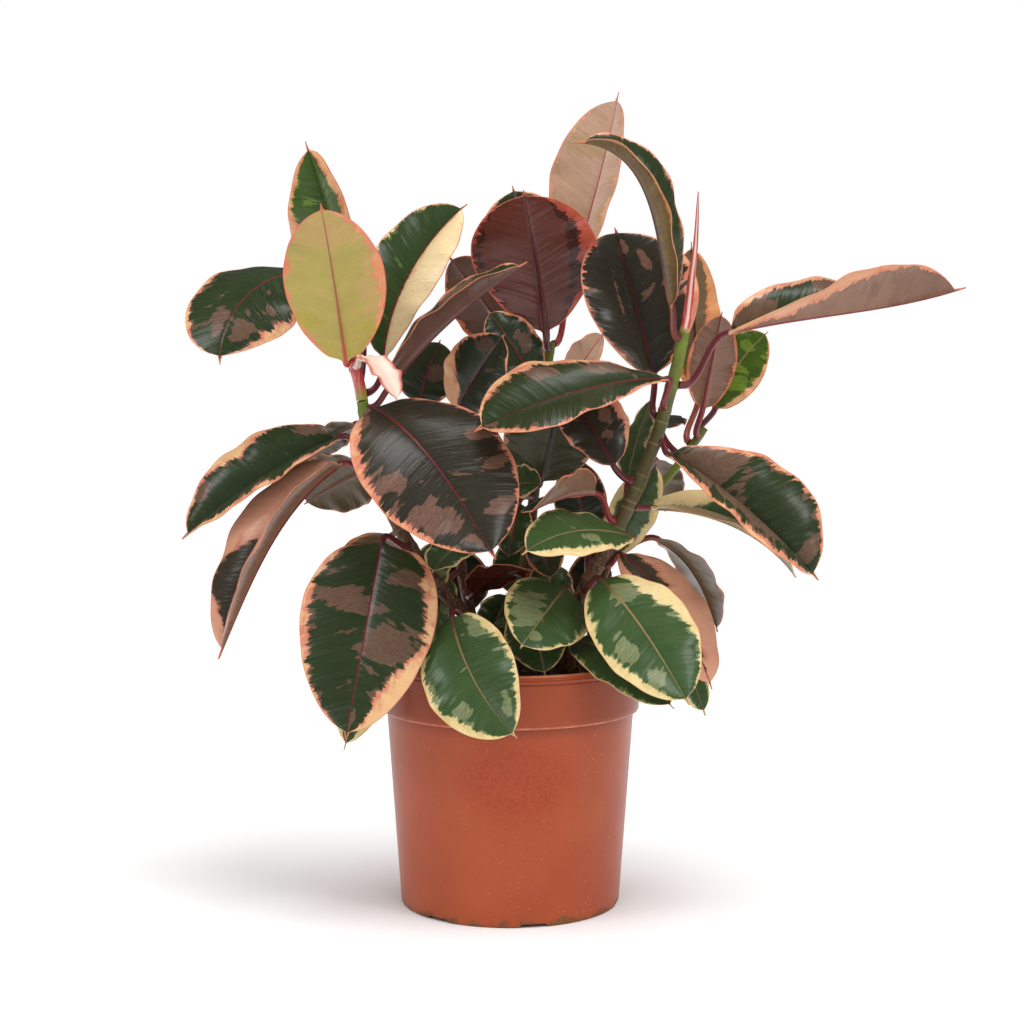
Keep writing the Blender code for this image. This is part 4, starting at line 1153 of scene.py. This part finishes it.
def pot_outline(sizes):
    """The pot's section from the middle of its underside round the rim to the middle of its floor."""
    foot, shoulder, collar = sizes.foot_radius / MM, sizes.shoulder_radius / MM, sizes.collar_radius / MM
    base, height, wall = sizes.collar_base / MM, sizes.height / MM, sizes.wall / MM
    lip = height - LIP_HEIGHT
    outline = [(0, 0), (13.4, 0), (14, 0.4), (15, FLOOR_UNDER), (40, FLOOR_UNDER)]
    outline += [(foot - 6.2, FLOOR_UNDER), (foot - 5.4, 4.4), (foot - 5.0, 0.5), (foot - 4.5, 0)]
    outline += [(foot - 1.4, 0), (foot - 0.5, 0.5), (foot - 0.1, 1.4)]
    for level in (2.4, 4.0, 30, 60, 90, 120, 150, 172):
        outline.append((foot + (shoulder - foot) * level / base, level))
    outline += [(shoulder - 0.2, base - 3.0), (shoulder, base - 1.2), (shoulder + 1.2, base - 0.6)]
    outline += [(collar - 1.6, base - 0.5), (collar - 0.5, base + 0.1), (collar, base + 1.2)]
    outline += [(collar + 0.1, base + 6), (collar + 0.1, base + 20), (collar + 0.2, lip - 1.6)]
    outline += [(collar - 0.3, lip - 1.0), (collar - 0.3, lip - 0.4), (collar + 0.8, lip + 0.1)]
    outline += [(collar + 1.2, lip + 0.8), (collar + 1.2, lip + 2.6), (collar + 0.7, lip + 3.0)]
    outline += [(collar + 1.1, lip + 3.5), (collar + 1.1, height - 1.3), (collar + 0.6, height - 0.4)]
    outline += [(collar - 0.4, height), (collar - 3.2, height), (collar - 3.9, height - 0.5)]
    outline += [(collar - 4.2, height - 1.8), (collar - 4.2, lip - 3.2), (collar - wall, lip - 7)]
    outline += [(collar - wall, base + 3), (shoulder - wall, base - 2)]
    outline += [(foot - wall + 0.5, FLOOR_TOP + 0.6), (foot - wall - 1.0, FLOOR_TOP)]
    outline += [(40, FLOOR_TOP), (0, FLOOR_TOP)]
    return outline


def turned(outline, columns):
    """Points and faces of a solid turned from an outline whose two ends lie on the axis."""
    turns = np.linspace(0.0, 2 * math.pi, columns, endpoint=False)
    points = [(0.0, 0.0, outline[0][1])]
    for radius, level in outline[1:-1]:
        points += [(radius * math.cos(turn), radius * math.sin(turn), level) for turn in turns]
    points.append((0.0, 0.0, outline[-1][1]))
    last = len(points) - 1
    faces = []
    for corner in range(columns):
        after = (corner + 1) % columns
        faces.append((0, 1 + after, 1 + corner))
        faces.append((last, last - columns + corner, last - columns + after))
    return np.array(points), faces + ring_faces(len(outline) - 2, columns, 1)


def cut_rods(piece, spots, low, high, radius):
    """Cut upright round holes through a piece."""
    shape = bmesh.new()
    for x, y in spots:
        place = Matrix.Translation(Vector((x, y, (low + high) / 2)) * MM)
        bmesh.ops.create_cone(shape, cap_ends=True, segments=HOLE_SIDES, radius1=radius * MM,
                              radius2=radius * MM, depth=(high - low) * MM, matrix=place)
    mesh = bpy.data.meshes.new("holes")
    shape.to_mesh(mesh)
    shape.free()
    cutter = new_object("holes", mesh)
    modifier = piece.modifiers.new("holes", "BOOLEAN")
    modifier.operation = "DIFFERENCE"
    modifier.object = cutter
    apply_modifiers(piece)
    bpy.data.objects.remove(cutter)


class BuildPot(bpy.types.Operator):
    """Build the pot with its lip, collar, notched foot and drain holes"""

    bl_idname = "rubber_plant.build_pot"
    bl_label = "Pot"

    def execute(self, context):
        sizes = context.scene.rubber_plant.pot
        points, faces = turned(pot_outline(sizes), POT_COLUMNS)
        # The foot ring is lifted where its notches are.
        x, y, level = points.T
        degrees = np.degrees(np.arctan2(y, x))
        off = np.min([np.abs((degrees - angle + 180) % 360 - 180) for angle in NOTCH_ANGLES], axis=0)
        lift = NOTCH_HEIGHT * np.clip((NOTCH_HALF_ANGLE - off) / NOTCH_EASE, 0.0, 1.0)
        ring = (np.hypot(x, y) > sizes.foot_radius / MM - FOOT_RING_WIDTH) & (level < NOTCH_HEIGHT)
        points[:, 2] = np.where(ring, np.maximum(level, lift), level)
        piece = new_piece("pot_plastic_shell", points, faces, pot_material(sizes), 35.0)
        spots = []
        for number in range(DRAIN_HOLES):
            turn = 2 * math.pi * (number + DRAIN_TURN) / DRAIN_HOLES
            spots.append((DRAIN_RING_RADIUS * math.cos(turn), DRAIN_RING_RADIUS * math.sin(turn)))
        cut_rods(piece, spots, FLOOR_UNDER - 4.0, FLOOR_TOP + 5.0, DRAIN_HOLE_RADIUS)
        hand_over(piece, "pot_terracotta", "pot")
        return {"FINISHED"}


def soil_material(sizes):
    """Dark damp potting soil."""
    material, nodes, shader = new_material("potting_soil", Roughness=0.95)
    grain = nodes.noise(nodes.place(), 420.0, 5.0, 0.7)
    patch = nodes.noise(nodes.place(), 60.0, 3.0)
    colour = nodes.mix(nodes.step(grain, 0.52, 0.12), tuple(sizes.dark), tuple(sizes.light))
    colour = nodes.mix(nodes.step(patch, 0.5, 0.12) * 0.5, colour, tuple(sizes.dark))
    finish(nodes, shader, colour, grain, 0.8, 0.0015)
    return material


def fibre_material(sizes):
    """Pale coir fibres and grit."""
    material, nodes, shader = new_material("soil_fibre", Roughness=0.9)
    grain = nodes.noise(nodes.place(), 300.0, 3.0)
    colour = nodes.mix(nodes.step(grain, 0.5, 0.2), tuple(sizes.fibre), paint(150, 112, 74))
    finish(nodes, shader, colour, grain, 0.5, 0.0005)
    return material


def soil_lump(x, y):
    """Height of the loose surface over its even crown."""
    lump = 0.5 * np.sin(x * 0.11 + 1.3) * np.cos(y * 0.13)
    lump = lump + 0.3 * np.sin(x * 0.23 - y * 0.19) + 0.2 * np.cos(x * 0.31 + y * 0.37)
    return SOIL_LUMP * lump + 0.5 * np.sin(x * 0.9 + y * 0.4) * np.cos(y * 0.8 - x * 0.3) - 0.4


def scatter_tree(name, grain):
    """Geometry nodes that strew grains over a surface's upper faces."""
    inputs = (("Surface", "NodeSocketGeometry"), ("Density", "NodeSocketFloat"),
              ("Size", "NodeSocketFloat"), ("Seed", "NodeSocketInt"), ("Material", "NodeSocketMaterial"))
    tree, nodes, given = new_group(name, "GeometryNodeTree", inputs, (("Pieces", "NodeSocketGeometry"),))
    up = nodes.split(nodes.out("GeometryNodeInputNormal"))[2]
    facing = nodes.out("FunctionNodeCompare", (up, LEAST_UPWARD), data_type="FLOAT",
                       operation="GREATER_THAN")
    points = nodes.out("GeometryNodeDistributePointsOnFaces", output="Points", named={
        "Mesh": given["Surface"], "Selection": facing, "Density": given["Density"], "Seed": given["Seed"]})
    shape = nodes.out(grain.kind, named=grain.inputs)
    shape = nodes.out("GeometryNodeTransform", named={"Geometry": shape, "Rotation": (grain.tip, 0.0, 0.0)})
    scale = nodes.out("FunctionNodeRandomValue", (grain.least, grain.most), {"Seed": given["Seed"]},
                      data_type="FLOAT_VECTOR")
    scale = nodes.out("ShaderNodeVectorMath", (scale,), {"Scale": given["Size"]}, operation="SCALE")
    back = tuple(-angle for angle in grain.turn)
    turn = nodes.out("FunctionNodeRandomValue", (back, grain.turn), data_type="FLOAT_VECTOR")
    placed = nodes.out("GeometryNodeInstanceOnPoints", named={
        "Points": points, "Instance": shape, "Rotation": turn, "Scale": scale})
    solid = nodes.out("GeometryNodeRealizeInstances", (placed,))
    dressed = nodes.out("GeometryNodeSetMaterial", named={"Geometry": solid, "Material": given["Material"]})
    nodes.node("NodeGroupOutput", (dressed,))
    return tree


def strewn(name, surface, tree, material, **inputs):
    """A plain mesh of what the tree strews over a surface."""
    piece = new_object(name, surface.data.copy())
    modifier = piece.modifiers.new("strewn", "NODES")
    modifier.node_group = tree
    sockets = {item.name: item.identifier for item in tree.interface.items_tree if item.in_out == "INPUT"}
    for title, value in {"Material": material, **inputs}.items():
        modifier[sockets[title]] = value
    apply_modifiers(piece)
    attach(piece, "root")


class BuildSoil(bpy.types.Operator):
    """Build the soil with its loose crumbs and pale fibres"""

    bl_idname = "rubber_plant.build_soil"
    bl_label = "Soil"

    def execute(self, context):
        sizes = context.scene.rubber_plant.soil
        pot = context.scene.rubber_plant.pot
        foot, shoulder = pot.foot_radius / MM - SOIL_GAP, pot.shoulder_radius / MM - SOIL_GAP
        collar, base = pot.collar_radius / MM - SOIL_GAP, pot.collar_base / MM
        floor = FLOOR_TOP + CLEARANCE
        edge = collar - 3
        outline = [(0.0, floor), (foot, floor), (shoulder, base - 2), (collar, base + 4)]
        outline += [(collar, SOIL_EDGE_HEIGHT - 4), (edge, SOIL_EDGE_HEIGHT - 1)]
        for radius in np.linspace(edge - 1.5, 2.5, SOIL_RINGS):
            outline.append((radius, SOIL_EDGE_HEIGHT + SOIL_CROWN * (1 - (radius / edge) ** 2)))
        outline.append((0.0, SOIL_EDGE_HEIGHT + SOIL_CROWN))
        points, faces = turned(outline, SOIL_COLUMNS)
        x, y, level = points.T
        loose = (level > base) & (np.hypot(x, y) < edge - 1)
        points[:, 2] = level + np.where(loose, soil_lump(x, y), 0.0)
        soil, fibre = soil_material(sizes), fibre_material(sizes)
        piece = new_piece("soil_body", points, faces, soil, 60.0)
        crumbs = scatter_tree("soil_crumbs", CRUMB)
        fibres = scatter_tree("soil_fibres", FIBRE)
        strewn("soil_crumbs", piece, crumbs, soil, Density=sizes.crumbs, Size=sizes.crumb, Seed=4)
        strewn("soil_fibres", piece, fibres, fibre, Density=sizes.fibres, Size=sizes.crumb, Seed=9)
        strewn("soil_grit", piece, crumbs, fibre,
               Density=sizes.fibres * 0.5, Size=sizes.crumb * 0.7, Seed=15)
        spots = [cane.foot for cane in CANES.values()]
        cut_rods(piece, spots, ROOT_LEVELS[0] - CLEARANCE, ROOT_HOLE_TOP, ROOT_HOLE_RADIUS)
        hand_over(piece, "soil_brown", "soil")
        return {"FINISHED"}


def lamp(name, kind, place, target):
    """A light that shines from a place towards a target."""
    data = bpy.data.lights.new(name, kind)
    made = new_object(name, data)
    made.location = place
    made.rotation_euler = (Vector(target) - Vector(place)).to_track_quat("-Z", "Y").to_euler()
    return data


class BuildStage(bpy.types.Operator):
    """Build the pale floor, the soft studio lights and the camera"""

    bl_idname = "rubber_plant.build_stage"
    bl_label = "Stage"

    def execute(self, context):
        scene = context.scene
        sizes = scene.rubber_plant.stage
        material, _, _ = new_material("floor_paper", Roughness=0.9, Base_Color=tuple(sizes.floor))
        mesh = bpy.data.meshes.new("floor")
        mesh.from_pydata(FLOOR_CORNERS, [], [(0, 1, 2, 3)])
        mesh.materials.append(material)
        floor = new_object("floor", mesh)

        world = bpy.data.worlds.new("studio")
        world.use_nodes = True
        nodes = Nodes(world.node_tree)
        ray = nodes.node("ShaderNodeLightPath").outputs
        strength = nodes.blend(ray["Is Glossy Ray"], sizes.ambient, sizes.mirrored)
        strength = nodes.blend(ray["Is Camera Ray"], strength, 1.0)
        background = world.node_tree.nodes["Background"]
        background.inputs[0].default_value = (1.0, 1.0, 1.0, 1.0)
        nodes.put(background.inputs[1], strength)
        scene.world = world
        scene.view_settings.view_transform = "Standard"
        key = lamp("key", "SUN", KEY_PLACE, KEY_TARGET)
        key.energy = sizes.sun
        key.angle = math.radians(KEY_ANGLE)
        bpy.data.objects["key"].visible_glossy = False
        for name, (place, breadth) in SOFT_BOXES.items():
            box = lamp(name, "AREA", place, BOX_TARGET)
            box.size = breadth
            box.energy = sizes.softbox

        camera = bpy.data.cameras.new("camera")
        camera.lens = SENSOR_WIDTH * FOCAL_PIXELS / PHOTO_WIDTH
        camera.sensor_width = SENSOR_WIDTH
        made = new_object("camera", camera)
        made.location = (CAMERA_RIGHT, -sizes.distance, sizes.camera_height)
        made.rotation_euler = (math.radians(CAMERA_TILT), 0.0, 0.0)
        scene.camera = made
        return {"FINISHED"}


class PlantPanel(bpy.types.Panel):
    """Lists the pieces of the potted plant"""

    bl_idname = "VIEW3D_PT_rubber_plant"
    bl_label = "Rubber Plant"
    bl_space_type = "VIEW_3D"
    bl_region_type = "UI"
    bl_category = "Rubber Plant"

    def draw(self, context):
        settings = context.scene.rubber_plant
        for name, operator in BUILDERS:
            box = self.layout.box()
            box.operator(operator.bl_idname)
            group = getattr(settings, name, None)
            for prop in group.bl_rna.properties if group else ():
                if prop.identifier not in ("rna_type", "name"):
                    box.prop(group, prop.identifier)


BUILDERS = (("pot", BuildPot), ("soil", BuildSoil), ("canes", BuildCanes), ("sheaths", BuildSheaths),
            ("leaves", BuildLeaves), ("stage", BuildStage))
CLASSES = (PotSizes, SoilSizes, CaneSizes, LeafSizes, StageSizes, PlantSettings,
           *(operator for _, operator in BUILDERS), PlantPanel)


def register():
    for item in CLASSES:
        bpy.utils.register_class(item)
    bpy.types.Scene.rubber_plant = bpy.props.PointerProperty(type=PlantSettings)


def unregister():
    del bpy.types.Scene.rubber_plant
    for item in reversed(CLASSES):
        bpy.utils.unregister_class(item)


def main():
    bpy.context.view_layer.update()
    register()
    for _, operator in BUILDERS:
        group, name = operator.bl_idname.split(".")
        getattr(getattr(bpy.ops, group), name)()


if __name__ == "__main__":
    main()
